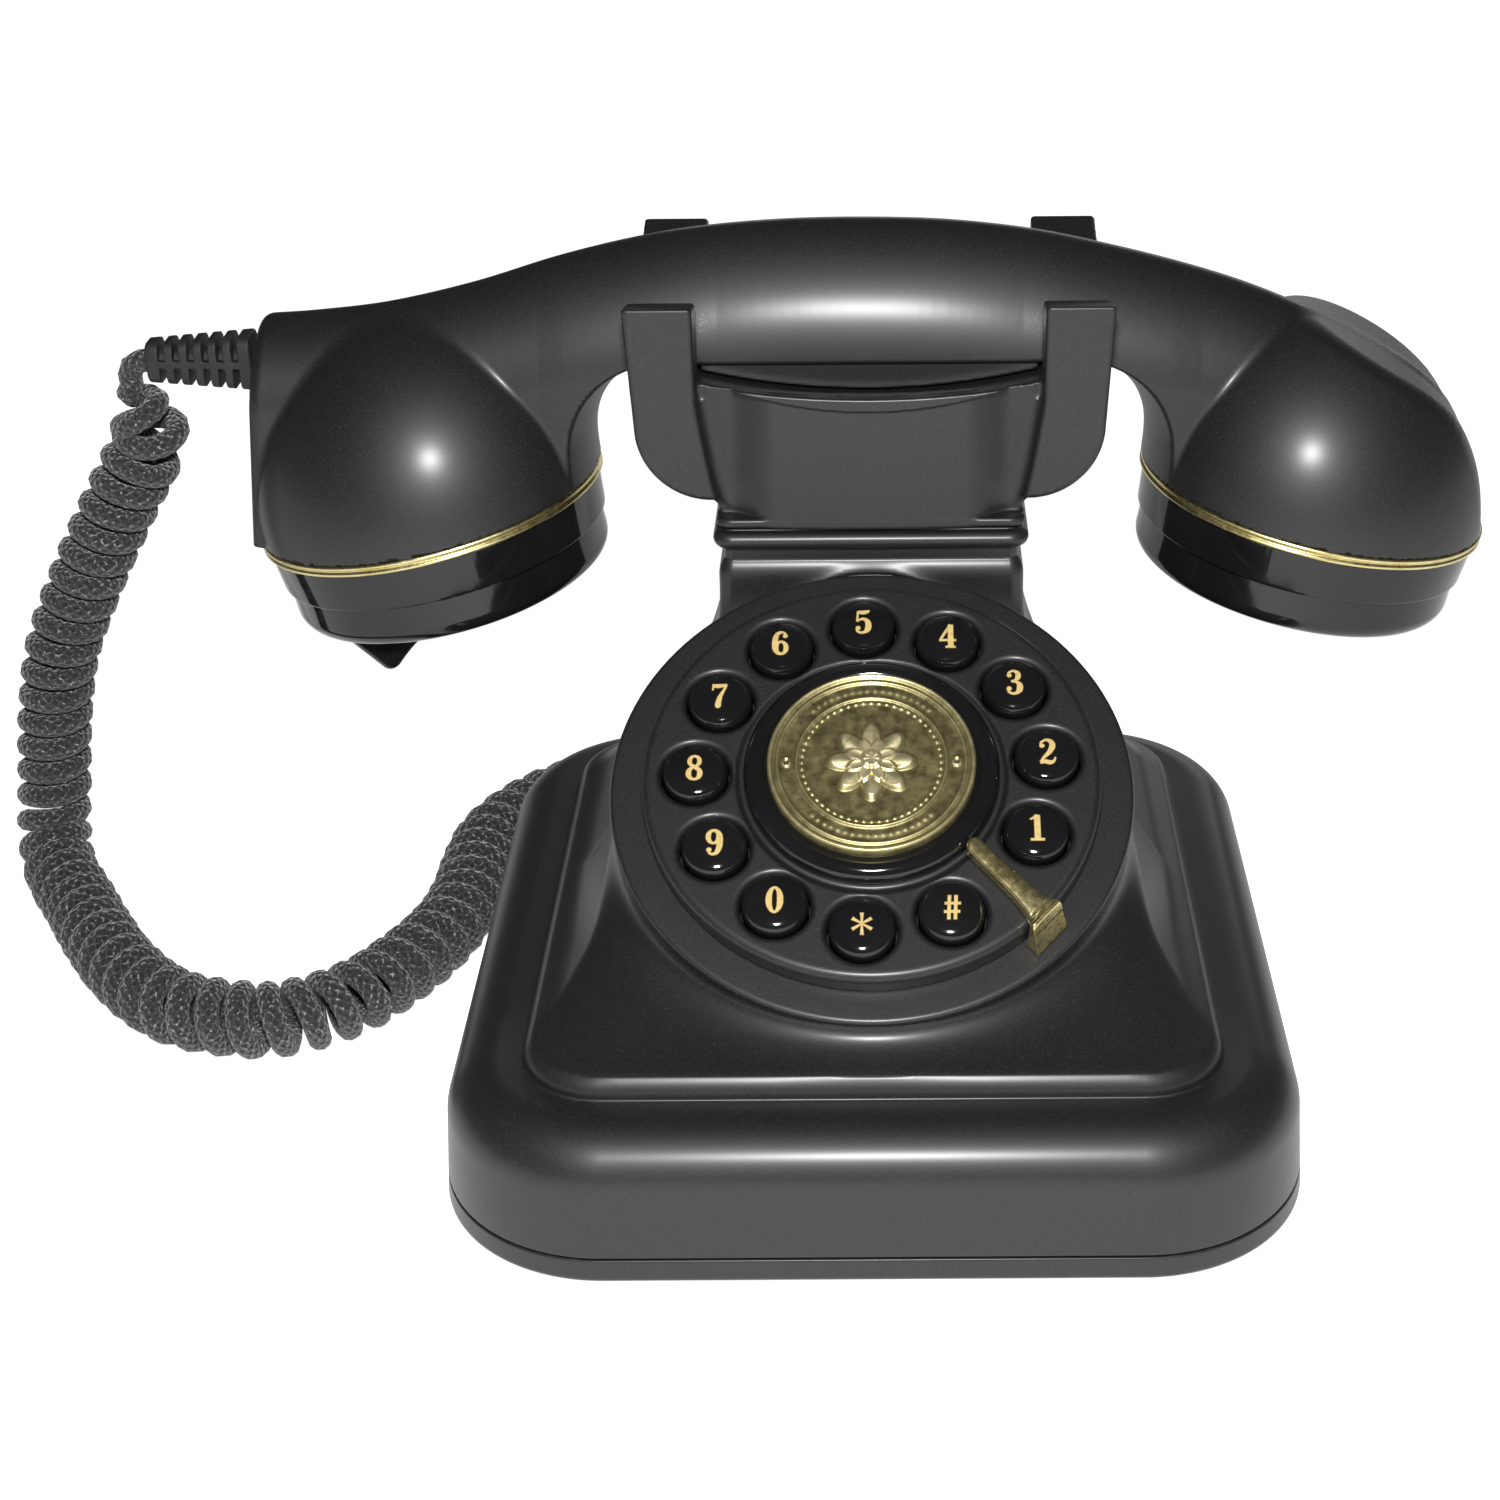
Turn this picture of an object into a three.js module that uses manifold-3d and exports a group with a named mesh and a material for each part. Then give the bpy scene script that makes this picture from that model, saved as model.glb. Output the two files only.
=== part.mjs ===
// A desk telephone in an old-fashioned shape: a low square base with a tilted round keypad, a cradle
// with four horns, a handset with two domed ends and a curly cord. Millimetres, +Z up, front to -Y.
import * as THREE from "three";
import { mergeVertices } from "three/addons/utils/BufferGeometryUtils.js";
import Module from "manifold-3d";

const wasm = await Module();
wasm.setup();

// ---- driving dimensions ----
const GAP = 0.3; // clearance between pieces that touch
const WALL = 2.6; // plastic wall thickness

const BASE = { halfX: 78, halfY: 81, corner: 30.5, low: 0.6, floor: 2.6, seam: 5.3, wall: 18.2, round: 10.1 };
const LEAN = 1.3; // how much further out the base's walls are at the ground than at the shoulder
const STEP = { inset: 14.7, corner: 15, rise: 4, round: 1.5 };
const DIAL = { y: -15, z: 63.2, tilt: 30, collar: 49.3, well: 40, wellDepth: 6, drum: 26 };
const DISC = { radius: 43, low: 0.3, high: 4.8, hole: 6.5 };
const KEY = { circle: 32.9, radius: 6.1, spacing: 29.03, fifth: 92.65 };
const BOSS = { radius: 23.8, top: 7.6 };
const MEDAL = { radius: 19.4, top: 9.4 };
const STOP = { angle: -42.4, tip: 23.9, edge: 45.4, halfTip: 1.7, rise: 3.4, skew: -0.11 };
const NECK = { halfX: 30.4, front: 29, back: 60, foot: 84, top: 96.6, corner: 3 };
const CRADLE = { low: 96.9, saddle: 126.2, back: 88, horn: 142, inner: 33.6, outer: 45.7, thick: 11 };
const HORN = { sweepX: 31, sweepZ: 118, acrossX: 14.7, acrossZ: 15.1, lean: 1.3 }; // curve below, lean above
const HOOK = { x: 13, y: 53, hole: 3.3, radius: 2.9, low: 26, bridge: 105.6 };
const HANDLE = { y: 58.5, halfY: 17.7, under: 126.8, arch: 56.5, archCorner: 20 };
const POD = { x: 91.3, z: 92.8, dome: 36, stretch: 1.12, tilt: 11.2, ring: 35.8, capLow: -19 };
const CORD = { coil: 16, wire: 4.6 };
const BACK = POD.dome + HANDLE.y; // furthest back that anything reaches
const FRONT = BASE.halfY + LEAN * (1 - (BASE.low + 1.2) / BASE.wall); // the base's foremost edge
const SHIFT_Y = (FRONT - BACK) / 2; // puts the origin under the middle of the whole object

const rad = THREE.MathUtils.degToRad;
const V = (x, y, z) => new THREE.Vector3(x, y, z);

// ---- solids and booleans ----
function solid(geometry) {
  const bare = geometry.index ? geometry.toNonIndexed() : geometry.clone();
  bare.deleteAttribute("normal");
  bare.deleteAttribute("uv");
  const merged = mergeVertices(bare, 1e-4);
  const mesh = new wasm.Mesh({
    numProp: 3,
    vertProperties: new Float32Array(merged.attributes.position.array),
    triVerts: new Uint32Array(merged.index.array),
  });
  return new wasm.Manifold(mesh);
}

function geometryOf(manifold) {
  const mesh = manifold.getMesh();
  const geometry = new THREE.BufferGeometry();
  geometry.setAttribute("position", new THREE.BufferAttribute(new Float32Array(mesh.vertProperties), 3));
  geometry.setIndex(new THREE.BufferAttribute(new Uint32Array(mesh.triVerts), 1));
  geometry.computeVertexNormals();
  return geometry;
}

const join = (...parts) => parts.reduce((a, b) => a.add(b));
const cut = (first, ...tools) => tools.reduce((a, b) => a.subtract(b), first);

// ---- basic shapes ----
function box(x0, x1, y0, y1, z0, z1) {
  const geometry = new THREE.BoxGeometry(x1 - x0, y1 - y0, z1 - z0);
  return geometry.translate((x0 + x1) / 2, (y0 + y1) / 2, (z0 + z1) / 2);
}

function upright(radius, z0, z1, sides = 32) {
  const geometry = new THREE.CylinderGeometry(radius, radius, z1 - z0, sides);
  return geometry.rotateX(Math.PI / 2).translate(0, 0, (z0 + z1) / 2);
}

// A body of revolution about Z from [radius, height] points that start and end on the axis.
function turned(points, sides = 32) {
  const profile = points.map(([r, h]) => new THREE.Vector2(r, h));
  return new THREE.LatheGeometry(profile, sides).rotateX(Math.PI / 2);
}

// A closed body through rings of equal length, each a list of points going anticlockwise from above.
function loft(rings) {
  const count = rings[0].length;
  const middle = (ring) => ring.reduce((sum, p) => sum.add(p), V(0, 0, 0)).divideScalar(count);
  const points = [...rings.flat(), middle(rings[0]), middle(rings.at(-1))];
  const index = [];
  for (let i = 0; i < count; i++) {
    const next = (i + 1) % count;
    for (let level = 0; level < rings.length - 1; level++) {
      const [a, b] = [level * count + i, level * count + next];
      index.push(a, b, b + count, a, b + count, a + count);
    }
    const top = (rings.length - 1) * count;
    index.push(rings.length * count, next, i);
    index.push(rings.length * count + 1, top + i, top + next);
  }
  const geometry = new THREE.BufferGeometry().setFromPoints(points);
  geometry.setIndex(index);
  return geometry;
}

// A rectangle with round corners, from yFront to yBack, as a ring at height z.
function roundedRing(halfX, yFront, yBack, corner, z, steps = 5) {
  const ring = [];
  const [near, far] = [yFront + corner, yBack - corner];
  const [left, right] = [corner - halfX, halfX - corner];
  const centres = [[right, far], [left, far], [left, near], [right, near]];
  centres.forEach(([cx, cy], quarter) => {
    for (let i = 0; i <= steps; i++) {
      const angle = (quarter + i / steps) * (Math.PI / 2);
      ring.push(V(cx + corner * Math.cos(angle), cy + corner * Math.sin(angle), z));
    }
  });
  return ring;
}

// A ring round the base, inset from its leaning walls.
const leanAt = (z) => LEAN * Math.max(0, 1 - z / BASE.wall);
function squareRing(inset, z) {
  const [out, y] = [leanAt(z) - inset, BASE.halfY + leanAt(z) - inset];
  return roundedRing(BASE.halfX + out, -y, y, BASE.corner + out, z);
}

// An outline in the X-Z plane made solid from y0 to y1.
function slab(outline, y0, y1) {
  const settings = { depth: y1 - y0, bevelEnabled: false, curveSegments: 8 };
  const geometry = new THREE.ExtrudeGeometry(outline, settings);
  return geometry.rotateX(Math.PI / 2).translate(0, y1, 0);
}

// ---- the scene graph ----
const phone = new THREE.Group();
phone.position.y = SHIFT_Y;
const plate = new THREE.Group(); // the keypad's own frame: +Z out of the keypad, +Y up its face
plate.position.set(0, DIAL.y, DIAL.z);
plate.rotation.x = rad(DIAL.tilt);
phone.add(plate);

const FINISH = {
  shell: { color: 0x17171a, roughness: 0.42, metalness: 0 },
  gloss: { color: 0x08080a, roughness: 0.1, metalness: 0 },
  gold: { color: 0xd9a93a, roughness: 0.16, metalness: 1 },
  medal: { color: 0x9a8c55, roughness: 0.38, metalness: 1 },
  rubber: { color: 0x111112, roughness: 0.8, metalness: 0 },
  board: { color: 0x1d5a34, roughness: 0.5, metalness: 0 },
  steel: { color: 0x9b9ea3, roughness: 0.35, metalness: 1 },
  cord: { color: 0x1a1a1c, roughness: 0.9, metalness: 0 },
};

function add(name, shape, finish, group = phone) {
  const geometry = shape.getMesh ? geometryOf(shape) : shape;
  const mesh = new THREE.Mesh(geometry, new THREE.MeshStandardMaterial(FINISH[finish]));
  mesh.name = name;
  group.add(mesh);
  return mesh;
}

// Turns a shape from the keypad's frame into the phone's.
const inPhone = (geometry) => geometry.rotateX(rad(DIAL.tilt)).translate(0, DIAL.y, DIAL.z);

// ---- base ----
const shoulderTop = BASE.wall + BASE.round;
const bodyInset = STEP.inset + STEP.round;
const bodyLow = shoulderTop + STEP.rise;

// The bell between the step and the neck: t runs from 0 at the step to 1 at the neck's foot.
function bellRing(z, thinner = 0) {
  const t = (z - bodyLow) / (NECK.foot - bodyLow);
  const sweep = (from, to) => to + (from - to) * (1 - t) ** 2.2;
  const halfX = sweep(BASE.halfX - bodyInset, NECK.halfX) - thinner;
  const front = sweep(bodyInset - BASE.halfY, NECK.front) + thinner;
  const back = sweep(BASE.halfY - bodyInset, NECK.back) - thinner;
  return roundedRing(halfX, front, back, sweep(STEP.corner, NECK.corner) - thinner / 2, z);
}

function bodyRings(low, thinner) {
  const rings = [squareRing(thinner, low), squareRing(thinner, BASE.wall)];
  for (let i = 1; i <= 4; i++) {
    const angle = (i / 4) * (Math.PI / 2);
    const inset = (1 - Math.cos(angle)) * (BASE.round - thinner);
    rings.push(squareRing(inset + thinner, BASE.wall + (BASE.round - thinner) * Math.sin(angle)));
  }
  return rings;
}

function stepRing(inset, z) {
  const [halfX, halfY] = [BASE.halfX - STEP.inset - inset, BASE.halfY - STEP.inset - inset];
  return roundedRing(halfX, -halfY, halfY, STEP.corner, z);
}

function baseHousing() {
  const rings = bodyRings(BASE.seam + GAP, 0);
  rings.push(stepRing(0, shoulderTop), stepRing(0, bodyLow - STEP.round), stepRing(STEP.round, bodyLow));
  for (const z of [35, 38, 42, 47, 53, 60, 68, 76, NECK.foot]) rings.push(bellRing(z));
  rings.push(roundedRing(NECK.halfX, NECK.front, NECK.back, NECK.corner, NECK.top - 5.6));
  for (let i = 0; i <= 4; i++) {
    const swell = Math.sin((i / 4) * Math.PI) * 0.9;
    const z = NECK.top - 5.4 + i * 1.35;
    rings.push(roundedRing(NECK.halfX + swell, NECK.front - swell, NECK.back + swell, NECK.corner, z));
  }
  const hollow = bodyRings(BASE.seam - 4, WALL);
  hollow.push(stepRing(WALL, shoulderTop - WALL + 0.1));
  for (const z of [38, 46, 56, 68, 80]) hollow.push(bellRing(z, WALL + 0.4));
  const above = solid(inPhone(box(-90, 90, -130, DIAL.collar, -0.4, 90)));
  const aboveFloor = solid(inPhone(box(-90, 90, -130, DIAL.collar - 9, -DIAL.wellDepth - WALL, 90)));
  const drum = solid(inPhone(upright(DIAL.collar, -DIAL.drum, 0, 64)));
  const well = solid(inPhone(upright(DIAL.well, -DIAL.wellDepth, 2, 48)));
  const wireHole = solid(inPhone(upright(9, -20, 0, 16)));
  const shaft = solid(box(-16, 16, 40, 54, 70, 110)); // the hook bar's way up through the neck
  const outside = join(cut(solid(loft(rings)), above), drum);
  const inside = cut(solid(loft(hollow)), aboveFloor);
  const jacks = [-1, 1].map((side) => solid(jackHole(side)));
  return cut(outside, inside, well, wireHole, shaft, ...jacks);
}

const JACK = { x: 44, width: 13, low: 7.6, high: 19.6, depth: 13 };

function jackHole(side) {
  const [left, right] = [side * JACK.x - JACK.width / 2, side * JACK.x + JACK.width / 2];
  return box(left, right, BASE.halfY - 8, BASE.halfY + 2, JACK.low, JACK.high);
}

function jack(side) {
  const [left, right] = [side * JACK.x - JACK.width / 2 + GAP, side * JACK.x + JACK.width / 2 - GAP];
  const [low, high] = [JACK.low + GAP, JACK.high - GAP];
  const [front, wall] = [BASE.halfY - JACK.depth, 2];
  const body = solid(box(left, right, front, BASE.halfY - 0.4, low, high));
  const socket = solid(box(left + wall, right - wall, front + wall, BASE.halfY + 1, low + 2.4, high - 2.4));
  return cut(body, socket);
}

const SCREW = { x: 60, y: 58, low: 1, head: 3, shank: 1.4 };
const FOOT = { x: 46, y: 62, radius: 7, high: 1.3 };
const corners = [[-1, -1, "front_left"], [1, -1, "front_right"], [-1, 1, "rear_left"], [1, 1, "rear_right"]];

function bottomTray() {
  const edge = 1.2;
  const rings = [squareRing(edge, BASE.low), squareRing(edge / 3, BASE.low + edge / 3)];
  rings.push(squareRing(0, BASE.low + edge), squareRing(0, BASE.seam));
  const hollow = [squareRing(WALL, BASE.floor), squareRing(WALL, BASE.seam + 2)];
  const tray = cut(solid(loft(rings)), solid(loft(hollow)));
  const holes = corners.flatMap(([sx, sy]) => [
    solid(upright(SCREW.head + GAP, 0, 9, 16).translate(sx * SCREW.x, sy * SCREW.y, 0)),
    solid(upright(FOOT.radius + GAP, -1, FOOT.high + GAP, 20).translate(sx * FOOT.x, sy * FOOT.y, 0)),
  ]);
  return cut(tray, ...holes);
}

function addBase() {
  add("base_housing", baseHousing(), "shell");
  add("bottom_tray", bottomTray(), "shell");
  add("handset_jack", jack(-1), "gloss");
  add("line_jack", jack(1), "gloss");
  for (const [sx, sy, where] of corners) {
    const { radius, high } = FOOT;
    const foot = turned([[0, 0], [radius - 0.6, 0], [radius, 0.5], [radius, high], [0, high]], 20);
    add("foot_" + where, foot.translate(sx * FOOT.x, sy * FOOT.y, 0), "rubber");
    const { low, head, shank } = SCREW;
    const thread = [[shank, low + 2], [shank, 14], [0, 15]];
    const screw = turned([[0, low], [head, low], [head, low + 1.8], ...thread], 12);
    add("screw_" + where, screw.translate(sx * SCREW.x, sy * SCREW.y, 0), "steel");
  }
  const floor = BASE.floor + GAP;
  add("ballast_plate", box(-44, 44, -58, 8, floor, floor + 4), "steel");
  add("main_board", box(-44, 44, 12, 66, floor + 3, floor + 4.6), "board");
  const ringer = turned([[0, 0], [15, 0], [15, 6], [9, 9], [0, 9]], 24);
  add("ringer", ringer.translate(-20, 34, floor + 5), "gloss");
  add("hook_switch", box(12, 26, 40, 54, floor + 5, HOOK.low - GAP), "gloss");
}

// ---- keypad ----
const keyAngle = (index) => rad(KEY.fifth + KEY.spacing * (index - 4));
const keyNames = ["1", "2", "3", "4", "5", "6", "7", "8", "9", "0", "star", "hash"];
const keyPlace = (index) => [KEY.circle * Math.cos(keyAngle(index)), KEY.circle * Math.sin(keyAngle(index))];

function keypadDisc() {
  const { radius, low, high } = DISC;
  const bevel = 0.9;
  const rim = [[0, low], [radius, low], [radius, high - bevel], [radius - bevel, high], [0, high]];
  const holes = keyNames.map((_, i) => solid(upright(DISC.hole, 0, 9, 16).translate(...keyPlace(i), 0)));
  return cut(solid(turned(rim, 56)), ...holes);
}

function fingerStop() {
  const [low, high] = [DISC.high + GAP, DISC.high + STOP.rise];
  const [halfFoot, halfLeg] = [2.9, 3.6];
  const bar = new THREE.Shape();
  bar.moveTo(STOP.tip + STOP.halfTip, -STOP.halfTip);
  bar.lineTo(DISC.radius - 1, -halfFoot);
  bar.lineTo(STOP.edge, -halfLeg);
  bar.lineTo(STOP.edge, halfLeg);
  bar.lineTo(DISC.radius - 1, halfFoot);
  bar.lineTo(STOP.tip + STOP.halfTip, STOP.halfTip);
  bar.absarc(STOP.tip + STOP.halfTip, 0, STOP.halfTip, Math.PI / 2, (3 * Math.PI) / 2, false);
  const flat = new THREE.ExtrudeGeometry(bar, { depth: high - low, bevelEnabled: false, curveSegments: 8 });
  flat.translate(0, 0, low);
  const leg = box(DISC.radius + GAP, STOP.edge, -halfLeg - 0.8, halfLeg + 0.8, GAP, high);
  const skewed = new THREE.Matrix4().makeShear(STOP.skew, 0, 0, 0, 0, 0);
  skewed.setPosition(0, -STOP.skew * STOP.tip, 0);
  return join(solid(flat.applyMatrix4(skewed)), solid(leg.applyMatrix4(skewed)));
}

function addKeypad() {
  add("keypad_disc", keypadDisc(), "shell", plate);
  const bossLow = DISC.high + GAP;
  const boss = [[0, bossLow], [BOSS.radius, bossLow], [BOSS.radius - 0.6, BOSS.top], [0, BOSS.top]];
  add("keypad_boss", turned(boss, 48), "gloss", plate);
  const [medalLow, { radius, top }] = [BOSS.top + GAP, MEDAL];
  const medal = [[0, medalLow], [radius, medalLow], [radius, top - 0.5], [radius - 1, top], [0, top]];
  add("medallion", turned(medal, 40), "medal", plate);
  add("finger_stop", fingerStop(), "gold", plate).rotation.z = rad(STOP.angle);
  keyNames.forEach((name, i) => {
    const r = KEY.radius;
    const profile = [[0, -0.5], [r - 1, -0.5], [r, 0.5], [r, 4.9], [r - 0.8, 5.7], [r * 0.55, 6.6], [0, 7]];
    add("key_" + name, turned(profile, 16), "gloss", plate).position.set(...keyPlace(i), 0);
  });
  add("keypad_mat", upright(DIAL.well - 1, -3.3, -2.3, 40), "rubber", plate);
  add("keypad_board", upright(DIAL.well - 1, -5.4, -3.8, 40), "board", plate);
}

// ---- cradle and hook ----
function hornOutline(top) {
  const outline = new THREE.Shape();
  outline.moveTo(CRADLE.inner, top);
  outline.lineTo(CRADLE.inner, 118);
  outline.lineTo(NECK.halfX - 6, 112);
  outline.lineTo(NECK.halfX - 6, 101);
  outline.lineTo(NECK.halfX - 0.4, 101.6);
  outline.absellipse(HORN.sweepX, HORN.sweepZ, HORN.acrossX, HORN.acrossZ, -Math.PI / 2, 0, false);
  outline.lineTo(CRADLE.outer + HORN.lean, top);
  return outline;
}

function wingOutline() {
  const outline = new THREE.Shape();
  outline.moveTo(NECK.halfX - 6, 101);
  outline.lineTo(NECK.halfX - 0.4, 101.6);
  outline.absellipse(HORN.sweepX, HORN.sweepZ, HORN.acrossX, HORN.acrossZ, -Math.PI / 2, 0, false);
  outline.lineTo(CRADLE.outer, 121);
  outline.lineTo(NECK.halfX - 6, 121);
  return outline;
}

function cradle() {
  const { low, saddle, back } = CRADLE;
  const flare = [[102, NECK.back], [106, 64], [110, 72], [114, 81], [118, 86]];
  const levels = [[low, NECK.back], ...flare, [saddle, back]];
  const rings = levels.map(([z, rear]) => roundedRing(NECK.halfX, NECK.front, rear, NECK.corner, z));
  const block = solid(loft(rings));
  const upper = solid(box(-34, 34, NECK.front, back, 118, saddle));
  const sag = 5.6; // how far the saddle dips in the middle
  const lip = (34 ** 2 + sag ** 2) / (2 * sag);
  const dip = upright(lip, -60, 60, 128).rotateX(Math.PI / 2).translate(0, HANDLE.y, saddle - sag + lip);
  const parts = [cut(join(block, upper), solid(dip))];
  const [frontHorn, rearHorn] = [NECK.front, back - CRADLE.thick];
  for (const side of [1, -1]) {
    for (const [front, top] of [[frontHorn, CRADLE.horn], [rearHorn, CRADLE.horn + 0.6]]) {
      const horn = slab(hornOutline(top), front, front + CRADLE.thick);
      parts.push(side > 0 ? solid(horn) : solid(horn).mirror([1, 0, 0]));
    }
    const wing = solid(slab(wingOutline(), NECK.front + 4, back - 4));
    parts.push(side > 0 ? wing : wing.mirror([1, 0, 0]));
  }
  const rearLow = new THREE.Shape();
  rearLow.moveTo(NECK.back + 1, 90);
  rearLow.lineTo(NECK.back + 1, 101);
  rearLow.quadraticCurveTo(NECK.back + 4, 108, back + 1, 117);
  rearLow.lineTo(back + 1, 90);
  const under = new THREE.ExtrudeGeometry(rearLow, { depth: 120, bevelEnabled: false, curveSegments: 8 });
  under.rotateX(Math.PI / 2).rotateZ(Math.PI / 2).translate(-60, 0, 0);
  const tunnel = (side) => solid(upright(HOOK.hole, 60, 140, 16).translate(side * HOOK.x, HOOK.y, 0));
  const hollow = solid(box(-22, 22, 38, 58, 90, 115));
  return cut(join(...parts), solid(under), hollow, tunnel(-1), tunnel(1));
}

function addCradle() {
  add("cradle", cradle(), "shell");
  const top = HANDLE.under - GAP;
  for (const [side, where] of [[-1, "left"], [1, "right"]]) {
    const [low, radius] = [HOOK.bridge + 3.4, HOOK.radius];
    const plunger = turned([[0, low], [radius, low], [radius, top - 1], [radius - 1, top], [0, top]], 16);
    add("hook_plunger_" + where, plunger.translate(side * HOOK.x, HOOK.y, 0), "gloss");
  }
  const bridge = solid(box(-15.9, 15.9, 43, 56, HOOK.bridge, HOOK.bridge + 3.1));
  const stem = solid(box(-3, 3, 44, 50, HOOK.low, HOOK.bridge + 1.4));
  const toe = solid(box(-3, 22, 44, 50, HOOK.low, HOOK.low + 4));
  add("hook_bar", join(bridge, stem, toe), "gloss");
}

// ---- handset ----
// Runs a callback for each end of the handset: side -1 is the mouthpiece, +1 the earpiece.
const atPod = (geometry, side) =>
  geometry.rotateY(rad(side * POD.tilt)).translate(side * POD.x, HANDLE.y, POD.z);

// The handset's outline over the top, from its ear end to its mouth end, in X and Z.
const CROWN = [
  [126.3, 80], [125.9, 85], [124.1, 94.6], [121.2, 105.4], [115.7, 114.6], [101.3, 124.8], [76, 136.8],
  [46, 145.4], [16, 150.2], [0, 150.8], [-16, 150.6], [-46, 147.3], [-79, 138.2], [-109.8, 132.5],
  [-120.6, 131], [-122.9, 127.5], [-125.2, 106], [-127.2, 80],
];

function alongCrown(outline) {
  outline.lineTo(120, 70);
  outline.lineTo(...CROWN[0]);
  outline.splineThru(CROWN.slice(1).map(([x, z]) => new THREE.Vector2(x, z)));
  outline.lineTo(-120, 70);
  return outline;
}

function handleOutline() {
  const { arch, archCorner, under } = HANDLE;
  const outline = new THREE.Shape();
  outline.moveTo(-arch, 70);
  outline.lineTo(-arch, under - archCorner);
  outline.quadraticCurveTo(-arch, under, archCorner - arch, under);
  outline.lineTo(arch - archCorner, under);
  outline.quadraticCurveTo(arch, under, arch, under - archCorner);
  outline.lineTo(arch, 70);
  return alongCrown(outline);
}

// The whole end of the handset from the middle outwards, under the same crown.
function endOutline() {
  const outline = new THREE.Shape();
  outline.moveTo(-120, 40);
  outline.lineTo(120, 40);
  return alongCrown(outline);
}

// The handle's cross-section, rounded over the top, swept along X with its crest just above the crown.
function handleSection() {
  const crest = [[-128, 132], ...CROWN.filter(([x]) => Math.abs(x) < 121).reverse(), [128, 104]];
  const rings = crest.map(([x, z]) => {
    const ring = [V(x, HANDLE.y + HANDLE.halfY, 60)];
    for (let i = 0; i <= 8; i++) {
      const angle = (i / 8) * Math.PI;
      const flat = Math.sign(Math.cos(angle)) * Math.abs(Math.cos(angle)) ** 0.75;
      ring.push(V(x, HANDLE.y + HANDLE.halfY * flat, z - 14.8 + 15 * Math.sin(angle) ** 0.75));
    }
    ring.push(V(x, HANDLE.y - HANDLE.halfY, 60));
    return ring;
  });
  return loft(rings);
}

// The rim under the handle that lies in the saddle's dip.
function rimOutline() {
  const [halfLength, end, middle] = [33, HANDLE.under - 0.8, 121.3];
  const outline = new THREE.Shape();
  outline.moveTo(-halfLength, HANDLE.under + 1);
  outline.lineTo(halfLength, HANDLE.under + 1);
  outline.lineTo(halfLength, end);
  outline.quadraticCurveTo(0, 2 * middle - end, -halfLength, end);
  return outline;
}

function handsetShell() {
  const { y } = HANDLE;
  const handle = solid(slab(handleOutline(), y - 19, y + 19)).intersect(solid(handleSection()));
  const underCrown = solid(slab(endOutline(), y - 40, y + 40));
  const frontRim = solid(slab(rimOutline(), y - 16.5, y - 14));
  const rearRim = solid(slab(rimOutline(), y + 14, y + 16.5));
  const parts = [handle, frontRim, rearRim];
  const tools = [solid(box(-43, 43, y - 13, y + 13, 120, 140))];
  for (const side of [-1, 1]) {
    const dome = new THREE.SphereGeometry(POD.dome, 32, 20).rotateX(Math.PI / 2).scale(1, 1, POD.stretch);
    parts.push(solid(dome.translate(side * POD.x, y, POD.z + 0.6)).intersect(underCrown));
    tools.push(solid(atPod(upright(60, -60, 0.9, 8), side)));
    tools.push(solid(atPod(turned([[0, -2], [32, -2], [32, 8], [28, 18], [18, 27], [0, 29]], 32), side)));
    tools.push(solid(bar([[side * 38, y, 132], [side * 86, y, 115]], 8, 8, 1))); // the way for the wires
  }
  return cut(join(...parts), ...tools);
}

function cap() {
  const { capLow } = POD;
  const face = [[0, capLow], [29.8, capLow], [32.4, capLow + 1.4]];
  const side = [[33.4, capLow + 8.8], [34.4, capLow + 9.1], [35.2, -1.2]];
  const inside = [[30, -1.2], [30, capLow + 2.4], [0, capLow + 2]];
  return turned([...face, ...side, ...inside], 32);
}

function addHandset() {
  add("handset_shell", handsetShell(), "shell");
  const under = HANDLE.under;
  const insert = box(-42.6, 42.6, HANDLE.y - 12.6, HANDLE.y + 12.6, under + 0.1, under + 2.4);
  add("handset_insert", insert, "shell");
  add("handset_weight", box(-30, 30, HANDLE.y - 8, HANDLE.y + 8, under + 2.8, under + 8.8), "steel");
  for (const [side, end, capsule] of [[-1, "mouth", "microphone"], [1, "ear", "receiver"]]) {
    const r = POD.ring;
    const ring = [[33, -0.9], [r, -0.9], [r + 0.3, -0.1], [r, 0.6], [33, 0.6], [33, -0.9]];
    add(end + "_ring", atPod(turned(ring, 36), side), "gold");
    add(end + "_cap", atPod(cap(), side), "gloss");
    const low = POD.capLow + 2.6;
    const inner = turned([[0, low], [22, low], [22, low + 7], [16, low + 10], [0, low + 10]], 24);
    add(capsule, atPod(inner, side), "steel");
  }
  const spout = new THREE.Shape();
  spout.moveTo(-19.5, 0);
  spout.lineTo(-15.6, -8);
  spout.quadraticCurveTo(-14.2, -10.2, -12, -7.6);
  spout.quadraticCurveTo(-7, -2.4, 1, 0);
  add("mouth_spout", atPod(slab(spout, -24, -14).translate(0, 0, POD.capLow - GAP), -1), "gloss");
}

// ---- curly cord ----
// A round bar along a list of points, eight to twelve sides round.
function bar(points, diameter, sides, steps) {
  const path = new THREE.CatmullRomCurve3(points.map((p) => V(...p)), false, "centripetal");
  const circle = new THREE.Shape();
  for (let i = 0; i < sides; i++) {
    const angle = (i / sides) * 2 * Math.PI;
    const [x, y] = [(diameter / 2) * Math.cos(angle), (diameter / 2) * Math.sin(angle)];
    if (i === 0) circle.moveTo(x, y);
    else circle.lineTo(x, y);
  }
  return new THREE.ExtrudeGeometry(circle, { steps, extrudePath: path, bevelEnabled: false });
}

const RELIEF = { from: -125.9, to: -146, z: 122.5 };

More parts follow.
